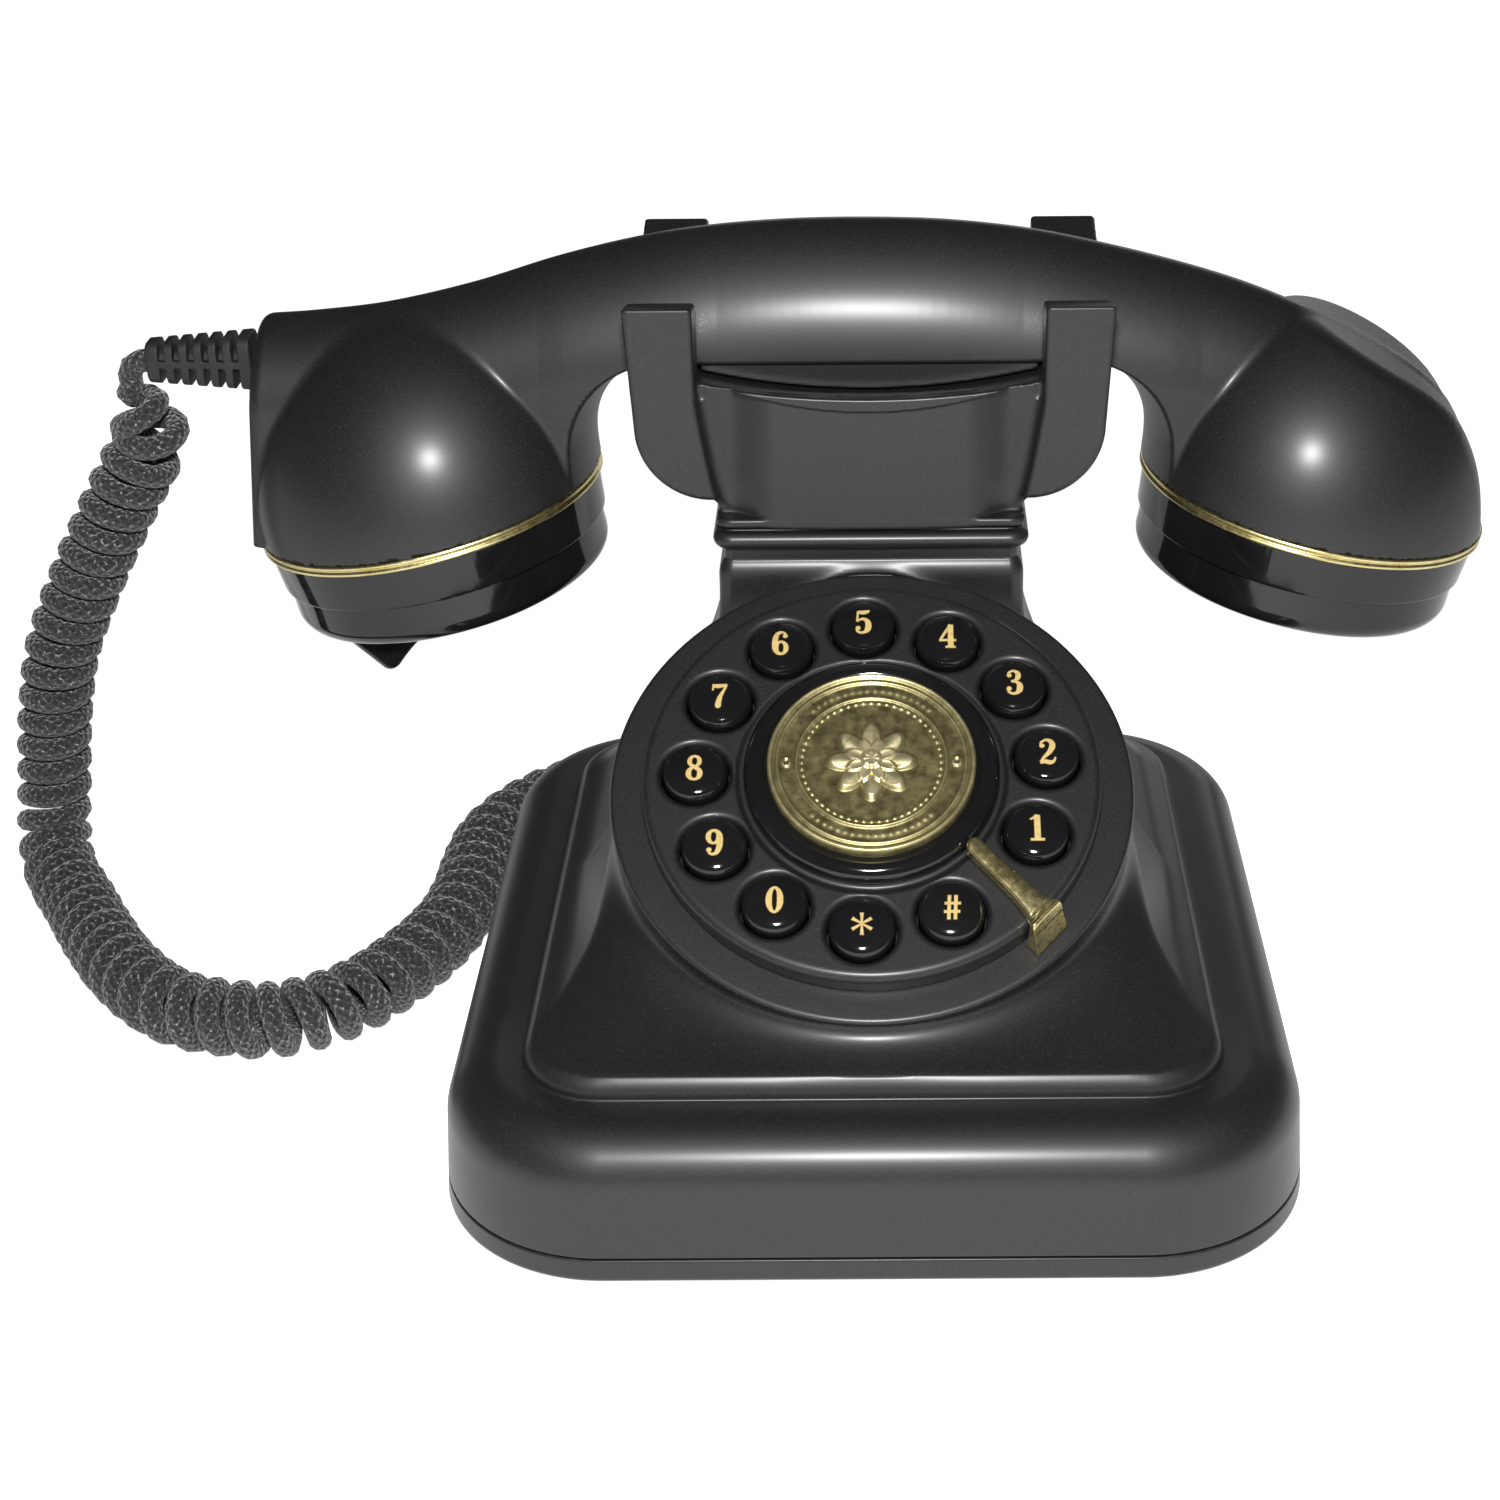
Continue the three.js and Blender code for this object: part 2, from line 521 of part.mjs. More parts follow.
function addCord() {
  const length = RELIEF.from - RELIEF.to;
  const relief = turned([[0, 0], [5, 0], [3.2, length], [0, length]], 16).rotateY(-Math.PI / 2);
  add("handset_strain_relief", relief.translate(RELIEF.from, HANDLE.y, RELIEF.z), "rubber");
  const y = HANDLE.y;
  const lead = [[-146.5, y, RELIEF.z], [-148.7, y, 122.3], [-150.6, y, 119.6], [-150, y, 114.2]];
  add("cord_lead_handset", bar(lead, CORD.wire, 8, 8), "cord");
  const z = CORD.coil / 2;
  const curl = [
    [-149.4, y, 113], [-148, y, 105.5], [-152.2, y, 98.6], [-159.6, y, 86], [-167.4, y, 71.5],
    [-173.9, y, 57.4], [-177.8, y, 42], [-180, y - 1, 27], [-181, y - 4, 15], [-178.5, 47.5, z + 1],
    [-171.5, 36, z], [-163.5, 22, z], [-154.5, 8.5, z], [-143, -3.5, z], [-131, -8.6, z], [-118, -9.2, z],
    [-105, -1.5, z], [-94.6, 14.2, z], [-89.5, 28, z], [-88, 40, z], [-87.6, 50.5, z], [-86.2, 61, z],
    [-82, 70.6, z], [-75.6, 79, z], [-68, 85.5, z], [-62, 90, z + 1],
  ];
  add("cord_curl", bar(curl, CORD.coil, 10, 46), "cord");
  const bend = [[-54, 95.8, 12], [-48, 96, 13.2], [-44.3, 92.6, 13.6]];
  const tail = [[-60.6, 91.4, z + 1.8], ...bend, [-JACK.x, 88.3, 13.6]];
  add("cord_lead_base", bar(tail, CORD.wire, 8, 8), "cord");
  add("cord_plug", box(-JACK.x - 3.4, -JACK.x + 3.4, BASE.halfY - 9, 87.6, 11, 16.2), "gloss");
}

addBase();
addKeypad();
addCradle();
addHandset();
addCord();

export default phone;
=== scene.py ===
# The looks of a desk telephone with a square base, a round keypad and a curly cord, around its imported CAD.
import math

import bpy
import numpy as np
from mathutils import Matrix, Vector


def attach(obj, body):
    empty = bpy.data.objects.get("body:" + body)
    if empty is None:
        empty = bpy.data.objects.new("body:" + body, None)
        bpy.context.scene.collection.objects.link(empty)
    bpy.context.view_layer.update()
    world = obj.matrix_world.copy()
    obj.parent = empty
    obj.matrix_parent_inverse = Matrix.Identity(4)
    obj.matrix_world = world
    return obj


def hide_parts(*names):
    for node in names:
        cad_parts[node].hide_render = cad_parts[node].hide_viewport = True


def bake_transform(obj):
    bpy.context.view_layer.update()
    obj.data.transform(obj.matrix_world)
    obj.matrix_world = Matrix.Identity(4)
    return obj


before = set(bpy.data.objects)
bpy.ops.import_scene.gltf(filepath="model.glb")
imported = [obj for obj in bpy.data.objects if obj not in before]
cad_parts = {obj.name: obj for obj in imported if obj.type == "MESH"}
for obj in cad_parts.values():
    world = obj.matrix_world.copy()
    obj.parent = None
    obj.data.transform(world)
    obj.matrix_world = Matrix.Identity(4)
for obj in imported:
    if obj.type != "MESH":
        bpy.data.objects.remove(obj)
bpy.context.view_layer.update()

# ---- driving dimensions, in millimetres, from the middle of the base's underside ----
SHIFT_Y = -6.164  # the base's middle in the row's frame
BASE = dict(half_x=78, half_y=81, corner=30.5, bottom=5.6, top=28.3, shoulder=10.1, lean=1.3, wall=18.2)
STEP = dict(half_x=63.3, half_y=66.3, corner=15, top=32.3, edge=3.2)
DIAL = dict(y=-15, z=63.2, tilt=math.radians(30), collar=49.3, drum=26)
DISC = dict(radius=43, top=4.8, edge=1.7, hole=6.5)
KEY = dict(circle=32.9, spacing=29.03, fifth=92.65, digit=5.6)
BOSS_RADIUS = 23.8
MEDAL = dict(radius=19.4, low=7.2, ring=13.9)
STOP = dict(angle=-42.4, tip=23.9, edge=44.4, top=8.2, skew=-0.11)
NECK = dict(half_x=30.4, front=29, back=60, corner=3, foot=84, ledge=91.8, bead=94.2, top=96.6)
CRADLE = dict(low=97, back=88, outer=45.7, thick=11, horn=142, lip=124.4, valley=120.6)
SWEEP = dict(x=31, z=118, across=14.7, up=15.1, lean=0.055)  # each horn's curve below, and its lean above
HOOK = dict(x=13, y=53, hole=3.3, radius=2.9, low=109, top=126.4)
HANDLE = dict(y=58.5, under=126.6, arch_corner=20, pod_wall=35.1)
POD = dict(x=91.3, z=92.8, tilt=math.radians(11.2), dome=35.9, dome_height=40, cap_low=-19)
JACK = dict(x=44, half_x=6.2, low=7.9, high=19.3, front=68, back=80.6, gap=0.3)
TRAY = dict(low=0.6, high=5.3, floor=2.6)
FOOT = dict(x=46, y=62, radius=7, high=1.3)
SCREW = dict(x=60, y=58, head=3, shank=1.4)
CORNERS = ((-1, -1, "front_left"), (1, -1, "front_right"), (-1, 1, "rear_left"), (1, 1, "rear_right"))
CORD = dict(wire=4.9, coil=16, pitch=5.9)
RELIEF = dict(start=-124.5, end=-146, z=122.5, pitch=3)


# ---- shapes as fields: negative inside, in millimetres ----
def share_of(value):
    return np.clip(value, 0, 1)


def eased(share):
    return share**2 * (3 - 2 * share)


def round_rect(x, y, half_x, half_y, corner):
    dx = np.abs(x) - (half_x - corner)
    dy = np.abs(y) - (half_y - corner)
    return np.hypot(np.maximum(dx, 0), np.maximum(dy, 0)) + np.minimum(np.maximum(dx, dy), 0) - corner


def round_and(a, b, radius):
    """What is inside both, with the edge between them rounded."""
    outside = np.hypot(np.maximum(a + radius, 0), np.maximum(b + radius, 0))
    return outside + np.minimum(np.maximum(a, b) + radius, 0) - radius


def round_cut(a, tool, radius):
    return round_and(a, -tool, radius)


def soft_or(a, b, radius):
    """What is inside either, with a fillet between them."""
    near = np.maximum(radius - np.abs(a - b), 0) / radius
    return np.minimum(a, b) - near**2 * radius / 4


def box_field(x, y, z, low, high, edge):
    middle = [(a + b) / 2 for a, b in zip(low, high)]
    half = [(b - a) / 2 for a, b in zip(low, high)]
    plan = round_rect(x - middle[0], y - middle[1], half[0], half[1], edge)
    return round_and(plan, np.abs(z - middle[2]) - half[2], edge)


def levels(low, high, cell, fine=()):
    """Grid lines every cell, closer together in each (from, to, cell) of fine."""
    places = [low]
    while places[-1] < high:
        here = places[-1]
        size = min([cell] + [c for a, b, c in fine if a <= here < b])
        places.append(here + size)
    return np.array(places)


def surface_net(field, axes):
    """Points and faces of the closed surface where field is zero, on the grid that axes gives."""
    grid = np.meshgrid(*axes, indexing="ij", sparse=True)
    shape = tuple(len(a) for a in axes)
    value = np.broadcast_to(field(*grid), shape).astype(np.float32)
    total = np.zeros((value.size, 3))
    count = np.zeros(value.size)
    quads = []
    for axis in range(3):
        across = [k for k in range(3) if k != axis]
        if axis == 1:
            across.reverse()
        low = [slice(None)] * 3
        high = [slice(None)] * 3
        low[axis] = slice(None, -1)
        high[axis] = slice(1, None)
        a = value[tuple(low)]
        b = value[tuple(high)]
        edges = np.argwhere((a < 0) != (b < 0))
        va = a[tuple(edges.T)].astype(float)
        vb = b[tuple(edges.T)].astype(float)
        share = va / (va - vb)
        point = np.stack([axes[k][edges[:, k]] for k in range(3)], axis=1)
        point[:, axis] += share * (axes[axis][edges[:, axis] + 1] - axes[axis][edges[:, axis]])
        around = []
        for step in ((0, 0), (1, 0), (1, 1), (0, 1)):
            cell = edges.copy()
            cell[:, across[0]] -= step[0]
            cell[:, across[1]] -= step[1]
            index = np.ravel_multi_index(cell.T, shape)
            around.append(index)
            for k in range(3):
                total[:, k] += np.bincount(index, point[:, k], value.size)
            count += np.bincount(index, minlength=value.size)
        quad = np.stack(around, axis=1)
        outward = va < 0
        quads.append(quad[outward])
        quads.append(quad[~outward][:, ::-1])
    cells, faces = np.unique(np.concatenate(quads), return_inverse=True)
    points = total[cells] / count[cells][:, None]
    return points, faces.reshape(-1, 4)


def gradient(field, p, reach=0.04):
    slope = np.empty_like(p)
    for k in range(3):
        step = np.zeros(3)
        step[k] = reach
        slope[:, k] = (field(*(p + step).T) - field(*(p - step).T)) / (2 * reach)
    return slope


def sculpt(field, axes, rounds=2, reach=0.6):
    """A surface net pulled onto the field's zero surface, with the field's own normals."""
    points, faces = surface_net(field, axes)
    for _ in range(rounds):
        slope = gradient(field, points)
        size = np.maximum((slope**2).sum(axis=1), 1e-4)
        move = -(field(*points.T) / size)[:, None] * slope
        length = np.maximum(np.linalg.norm(move, axis=1), 1e-9)
        points = points + move * np.minimum(1, reach / length)[:, None]
    slope = gradient(field, points)
    return points, faces, slope / np.maximum(np.linalg.norm(slope, axis=1), 1e-6)[:, None]


# ---- frames: the keypad's face and the two ends of the handset ----
def from_dial(p):
    c, s = math.cos(DIAL["tilt"]), math.sin(DIAL["tilt"])
    x, v, h = np.asarray(p, float).T
    return np.stack([x, DIAL["y"] + v * c - h * s, DIAL["z"] + v * s + h * c], axis=1)


def to_dial(y, z):
    c, s = math.cos(DIAL["tilt"]), math.sin(DIAL["tilt"])
    return (y - DIAL["y"]) * c + (z - DIAL["z"]) * s, (z - DIAL["z"]) * c - (y - DIAL["y"]) * s


def from_pod(p, side):
    c, s = math.cos(side * POD["tilt"]), math.sin(side * POD["tilt"])
    x, y, z = np.asarray(p, float).T
    return np.stack([x * c + z * s + side * POD["x"], y + HANDLE["y"], z * c - x * s + POD["z"]], axis=1)


def to_pod(x, z, side):
    c, s = math.cos(side * POD["tilt"]), math.sin(side * POD["tilt"])
    dx, dz = x - side * POD["x"], z - POD["z"]
    return dx * c - dz * s, dx * s + dz * c


# ---- mesh helpers ----
def spline(points, spacing):
    """Evenly spaced points along a smooth curve through the given ones."""
    p = np.asarray(points, float)
    padded = np.vstack([2 * p[0] - p[1], p, 2 * p[-1] - p[-2]])
    fine = []
    for i in range(len(p) - 1):
        a, b, c, d = padded[i:i + 4]
        for t in np.linspace(0, 1, 24, endpoint=False):
            fine.append(0.5 * (2 * b + (c - a) * t + (2 * a - 5 * b + 4 * c - d) * t * t
                               + (3 * b - a - 3 * c + d) * t**3))
    fine = np.array(fine + [p[-1]])
    along = np.concatenate([[0], np.cumsum(np.linalg.norm(np.diff(fine, axis=0), axis=1))])
    places = np.linspace(0, along[-1], max(2, round(along[-1] / spacing) + 1))
    return np.stack([np.interp(places, along, fine[:, k]) for k in range(p.shape[1])], axis=1)


def filleted(points, steps=4):
    """An outline of [a, b] or [a, b, radius] points, with each corner that has a radius rounded."""
    done = []
    for i, point in enumerate(points):
        here = np.array(point[:2], float)
        radius = point[2] if len(point) > 2 else 0
        if not radius or i in (0, len(points) - 1):
            done.append(here)
            continue
        before = np.array(points[i - 1][:2], float) - here
        after = np.array(points[i + 1][:2], float) - here
        start = here + before * min(radius / np.linalg.norm(before), 0.5)
        end = here + after * min(radius / np.linalg.norm(after), 0.5)
        for t in np.linspace(0, 1, steps + 1):
            done.append((1 - t)**2 * start + 2 * t * (1 - t) * here + t * t * end)
    return np.array(done)


def lathe(profile, sides=64, closed=False):
    """A body turned about Z from a [radius, height, fillet] outline: closed, or from axis to axis."""
    outline = filleted(profile)
    angles = np.arange(sides) * 2 * math.pi / sides
    points, faces, rings = [], [], []
    for r, h in outline:
        if r < 1e-6:
            rings.append([len(points)] * sides)
            points.append([0, 0, h])
        else:
            rings.append(list(range(len(points), len(points) + sides)))
            points.extend([r * math.cos(a), r * math.sin(a), h] for a in angles)
    pairs = list(zip(rings, rings[1:]))
    if closed:
        pairs.append((rings[-1], rings[0]))
    for low, high in pairs:
        for i in range(sides):
            j = (i + 1) % sides
            corner = [low[i], low[j], high[j], high[i]]
            faces.append(list(dict.fromkeys(corner)))
    return np.array(points), faces


def frames_along(path, side):
    """Two directions square to a path at each of its points, turning as little as it allows."""
    tangent = np.gradient(path, axis=0)
    tangent /= np.linalg.norm(tangent, axis=1)[:, None]
    sides, others = [], []
    for ahead in tangent:
        side = side - ahead * (side @ ahead)
        side = side / np.linalg.norm(side)
        sides.append(side)
        others.append(np.cross(ahead, side))
    return np.array(sides), np.array(others)


def tube(path, radius, sides):
    """A closed round bar along a path."""
    one, other = frames_along(path, np.cross(path[1] - path[0], (0.3, 0.2, 0.9)))
    angle = (np.arange(sides) * 2 * math.pi / sides)[:, None]
    rings = np.cos(angle) * one[:, None] + np.sin(angle) * other[:, None]
    points = (path[:, None] + radius * rings).reshape(-1, 3)
    faces = [list(range(sides))[::-1], [len(points) - sides + k for k in range(sides)]]
    for i in range(len(path) - 1):
        for k in range(sides):
            a, b = i * sides + k, i * sides + (k + 1) % sides
            faces.append([a, b, b + sides, a + sides])
    return points, faces


def piece(name, points, faces, material, body, replaced=(), normals=None, crease=40):
    """A mesh in the row's frame from points in the base's millimetres, riding on a body."""
    mesh = bpy.data.meshes.new(name)
    place = (np.asarray(points, float) + (0, SHIFT_Y, 0)) * 0.001
    mesh.from_pydata(place.tolist(), [], [list(map(int, f)) for f in faces])
    mesh.validate()
    mesh.shade_smooth()
    if normals is None:
        mesh.set_sharp_from_angle(angle=math.radians(crease))
    else:
        mesh.normals_split_custom_set_from_vertices(np.asarray(normals, float).tolist())
    mesh.materials.append(material)
    obj = bpy.data.objects.new(name, mesh)
    bpy.context.scene.collection.objects.link(obj)
    if body:
        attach(obj, body)
    if replaced:
        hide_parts(*replaced)
    return obj


def sculpted(name, field, axes, material, body, replaced=(), place=None):
    """A piece from a field, in the base's frame or in the one that place turns into it."""
    points, faces, normals = sculpt(field, axes)
    if place:
        middle = place(np.zeros((1, 3)))
        normals = place(normals) - middle
        points = place(points)
    return piece(name, points, faces, material, body, replaced, normals)


# ---- materials ----
class Nodes:
    """A material's node tree, built by short calls."""

    def __init__(self, name):
        self.material = bpy.data.materials.new(name)
        self.material.use_nodes = True
        self.tree = self.material.node_tree
        self.shader = self.tree.nodes["Principled BSDF"]
        self.place = self.add("ShaderNodeTexCoord").outputs["Object"]

    def add(self, kind, **settings):
        node = self.tree.nodes.new(kind)
        for key, value in settings.items():
            setattr(node, key, value)
        return node

    def link(self, source, target):
        self.tree.links.new(source, target)

    def noise(self, scale, detail=3, roughness=0.6, at=None):
        node = self.add("ShaderNodeTexNoise")
        node.inputs["Scale"].default_value = scale
        node.inputs["Detail"].default_value = detail
        node.inputs["Roughness"].default_value = roughness
        self.link(at or self.place, node.inputs["Vector"])
        return node.outputs["Fac"]

    def ramp(self, value, stops):
        """Turns a value into a colour: stops are (place, colour or grey)."""
        node = self.add("ShaderNodeValToRGB")
        while len(node.color_ramp.elements) < len(stops):
            node.color_ramp.elements.new(0.5)
        for element, (place, colour) in zip(node.color_ramp.elements, stops):
            element.position = place
            element.color = (*colour, 1) if isinstance(colour, tuple) else (colour, colour, colour, 1)
        self.link(value, node.inputs["Fac"])
        return node.outputs["Color"]

    def math(self, operation, a, b=0.0, c=0.0):
        node = self.add("ShaderNodeMath", operation=operation)
        for socket, value in zip(node.inputs, (a, b, c)):
            if isinstance(value, (int, float)):
                socket.default_value = value
            else:
                self.link(value, socket)
        return node.outputs[0]

    def bump(self, height, depth, before=None):
        """Depth is in metres."""
        node = self.add("ShaderNodeBump")
        node.inputs["Strength"].default_value = 1
        node.inputs["Distance"].default_value = depth
        self.link(height, node.inputs["Height"])
        if before:
            self.link(before, node.inputs["Normal"])
        return node.outputs["Normal"]

    def finish(self, colour, roughness, normal=None, **constants):
        self.link(colour, self.shader.inputs["Base Color"])
        self.link(roughness, self.shader.inputs["Roughness"])
        if normal:
            self.link(normal, self.shader.inputs["Normal"])
        for key, value in constants.items():
            self.shader.inputs[key.replace("_", " ")].default_value = value
        return self.material


def satin_black():
    """Moulded plastic with a fine sparkling grain and a roughness that varies in soft patches."""
    n = Nodes("satin_black")
    grain = n.noise(2600, 2, 0.5)
    clouds = n.noise(26, 3)
    tones = [(0.3, (0.0045, 0.0045, 0.005)), (0.62, (0.009, 0.009, 0.0095)), (0.8, (0.03, 0.03, 0.032))]
    colour = n.ramp(grain, tones)
    rough = n.math("MULTIPLY_ADD", clouds, 0.08, 0.46)
    rough = n.math("MULTIPLY_ADD", grain, 0.12, rough)
    return n.finish(colour, rough, n.bump(grain, 0.00002), Coat_Weight=0.45, Coat_Roughness=0.28)


def gloss_black():
    """Polished plastic with faint haze and hairline wear."""
    n = Nodes("gloss_black")
    haze = n.noise(60, 4)
    colour = n.ramp(haze, [(0.3, (0.006, 0.006, 0.0065)), (0.75, (0.010, 0.010, 0.011))])
    rough = n.ramp(haze, [(0.35, 0.05), (0.8, 0.12)])
    return n.finish(colour, rough, n.bump(n.noise(500, 2), 0.000003))


def polished_gold():
    n = Nodes("polished_gold")
    stain = n.noise(160, 4)
    colour = n.ramp(stain, [(0.3, (0.66, 0.54, 0.22)), (0.7, (0.88, 0.78, 0.42))])
    rough = n.ramp(n.noise(900, 3), [(0.35, 0.26), (0.75, 0.40)])
    return n.finish(colour, rough, n.bump(n.noise(420, 3), 0.00002), Metallic=1.0)


def antique_brass():
    """Olive-gold cast brass, dark in its recesses: the piece's relief attribute is 0 low and 1 high."""
    n = Nodes("antique_brass")
    relief = n.add("ShaderNodeAttribute", attribute_name="relief").outputs["Fac"]
    mottle = n.noise(420, 4)
    value = n.math("MULTIPLY_ADD", n.math("SUBTRACT", mottle, 0.5), 0.45, relief)
    dark, olive = (0.07, 0.045, 0.015), (0.30, 0.26, 0.12)
    brass, worn = (0.47, 0.42, 0.21), (0.72, 0.62, 0.36)
    colour = n.ramp(value, [(0.05, dark), (0.3, olive), (0.62, brass), (0.95, worn)])
    rough = n.ramp(mottle, [(0.3, 0.34), (0.7, 0.5)])
    return n.finish(colour, rough, n.bump(n.noise(1500, 3), 0.00004), Metallic=0.85)


def black_rubber():
    n = Nodes("black_rubber")
    dust = n.noise(300, 4)
    colour = n.ramp(dust, [(0.35, 0.010), (0.8, 0.026)])
    rough = n.ramp(dust, [(0.3, 0.55), (0.8, 0.75)])
    return n.finish(colour, rough, n.bump(n.noise(1800, 2), 0.00003))


def circuit_board():
    n = Nodes("circuit_board")
    cells = n.add("ShaderNodeTexVoronoi", distance="MANHATTAN")
    cells.inputs["Scale"].default_value = 260
    n.link(n.place, cells.inputs["Vector"])
    tracks = cells.outputs["Distance"]
    colour = n.ramp(tracks, [(0.30, (0.012, 0.11, 0.035)), (0.34, (0.02, 0.19, 0.06))])
    return n.finish(colour, n.ramp(tracks, [(0.3, 0.3), (0.4, 0.45)]), n.bump(tracks, 0.00002))


def brushed_steel():
    n = Nodes("brushed_steel")
    stretch = n.add("ShaderNodeMapping")
    stretch.inputs["Scale"].default_value = (1, 40, 40)
    n.link(n.place, stretch.inputs["Vector"])
    lines = n.noise(60, 4, at=stretch.outputs["Vector"])
    colour = n.ramp(lines, [(0.3, (0.36, 0.37, 0.39)), (0.7, (0.58, 0.59, 0.61))])
    return n.finish(colour, n.ramp(lines, [(0.3, 0.28), (0.7, 0.42)]), n.bump(lines, 0.00002), Metallic=1.0)


def braid():
    """A black braided sleeve with pale flecks: UV is millimetres along the cord and turns round it."""
    n = Nodes("braid")
    uv = n.add("ShaderNodeUVMap", uv_map="braid").outputs["UV"]
    split = n.add("ShaderNodeSeparateXYZ")
    n.link(uv, split.inputs["Vector"])
    along, around = split.outputs["X"], split.outputs["Y"]
    strands, steepness = 8, 0.55

    def twist(direction):
        turns = n.math("MULTIPLY_ADD", along, direction * steepness, n.math("MULTIPLY", around, strands))
        return n.math("SINE", n.math("MULTIPLY", turns, 2 * math.pi))

    weave = n.math("MAXIMUM", twist(1), twist(-1))
    height = n.math("MULTIPLY_ADD", weave, 0.5, 0.5)
    fleck_place = n.add("ShaderNodeCombineXYZ")
    n.link(n.math("MULTIPLY", along, 1.5), fleck_place.inputs["X"])
    n.link(n.math("MULTIPLY", around, 14), fleck_place.inputs["Y"])
    fleck = n.noise(1.1, 1, at=fleck_place.outputs["Vector"])
    thread = n.noise(2400, 2)
    # The weave's height also sets the colour: painted shade in the gaps between strands and a painted
    # highlight on their crests.
    tone = n.math("MULTIPLY_ADD", n.math("SUBTRACT", fleck, 0.5), 0.9, n.math("MULTIPLY", height, 0.6))
    colour = n.ramp(tone, [(0.25, 0.006), (0.62, (0.022, 0.022, 0.023)), (0.78, 0.30)])
    rough = n.ramp(thread, [(0.3, 0.55), (0.7, 0.8)])
    normal = n.bump(thread, 0.00008, n.bump(height, 0.00035))
    return n.finish(colour, rough, normal, Sheen_Weight=0.35, Sheen_Roughness=0.5)


def ink(name, dark, light):
    """Printed ink, a little uneven."""
    n = Nodes(name)
    wear = n.noise(1400, 3)
    rough = n.ramp(wear, [(0.3, 0.28), (0.7, 0.42)])
    return n.finish(n.ramp(wear, [(0.3, dark), (0.7, light)]), rough, n.bump(wear, 0.000004))


def paper_floor():
    """A plain pale floor, brighter to the camera than to the pieces that it lights."""
    n = Nodes("floor")
    mottle = n.noise(9, 4)
    tone = n.ramp(mottle, [(0.3, 0.80), (0.7, 0.84)])
    seen = n.add("ShaderNodeLightPath").outputs["Is Camera Ray"]
    n.link(n.math("MULTIPLY_ADD", seen, 0.45, 0.5), n.shader.inputs["Emission Strength"])
    return n.finish(tone, n.ramp(mottle, [(0.3, 0.75), (0.7, 0.85)]), Emission_Color=(1, 1, 1, 1))


SHELL = satin_black()
GLOSS = gloss_black()
GOLD = polished_gold()
BRASS = antique_brass()
RUBBER = black_rubber()
BOARD = circuit_board()
STEEL = brushed_steel()
BRAID = braid()
CREAM = ink("cream_ink", (0.55, 0.40, 0.14), (0.68, 0.52, 0.22))
BROWN = ink("brown_ink", (0.045, 0.02, 0.006), (0.07, 0.035, 0.012))


# ---- camera ----
def add_camera():
    """At the photograph's viewing angle: yaw to the left, pitch down and a slight roll."""
    yaw, pitch, roll = math.radians(0.14), math.radians(27.8), math.radians(-0.45)
    ahead = Vector((-math.sin(yaw) * math.cos(pitch), math.cos(yaw) * math.cos(pitch), -math.sin(pitch)))
    level = Vector((math.cos(yaw), math.sin(yaw), 0))
    upright = level.cross(ahead)
    right = level * math.cos(roll) + upright * math.sin(roll)
    up = upright * math.cos(roll) - level * math.sin(roll)
    camera = bpy.data.objects.new("camera", bpy.data.cameras.new("camera"))
    bpy.context.scene.collection.objects.link(camera)
    camera.matrix_world = Matrix((right, up, -ahead)).transposed().to_4x4()
    camera.location = (0.00272, -0.44129, 0.29458)
    camera.data.lens = 61.26
    camera.data.sensor_width = 36
    camera.data.shift_x = -0.087
    camera.data.shift_y = -0.0068
    camera.data.clip_start = 0.01
    bpy.context.scene.camera = camera


# ---- curly cord ----
def cord_route():
    """The middle of the cord's coil, from the handset to the socket, and how much of it is coiled."""
    y, z = HANDLE["y"], CORD["coil"] / 2
    lead = [[-145.5, y, 122.5], [-148.4, y, 122.1], [-150.2, y, 120.3], [-150.3, y, 117]]
    curl = [
        [-149.4, y, 113], [-148, y, 105.5], [-152.2, y, 98.6], [-159.6, y, 86], [-167.4, y, 71.5],
        [-173.9, y, 57.4], [-177.8, y, 42], [-180, y - 1, 27], [-181, y - 4, 15], [-178.5, 47.5, z + 1],
        [-171.5, 36, z], [-163.5, 22, z], [-154.5, 8.5, z], [-143, -3.5, z], [-131, -8.6, z],
        [-118, -9.2, z], [-105, -1.5, z], [-94.6, 14.2, z], [-89.5, 28, z], [-88, 40, z],
        [-87.6, 50.5, z], [-86.2, 61, z], [-82, 70.6, z],
        [-75.6, 79, z], [-68, 85.5, z], [-62, 90, z + 1],
    ]
    tail = [[-57, 94, 11.4], [-51, 97.5, 12.6], [-46.5, 95, 13.4], [-44, 90, 13.6], [-44, 86.4, 13.6]]
    return lead, curl, tail


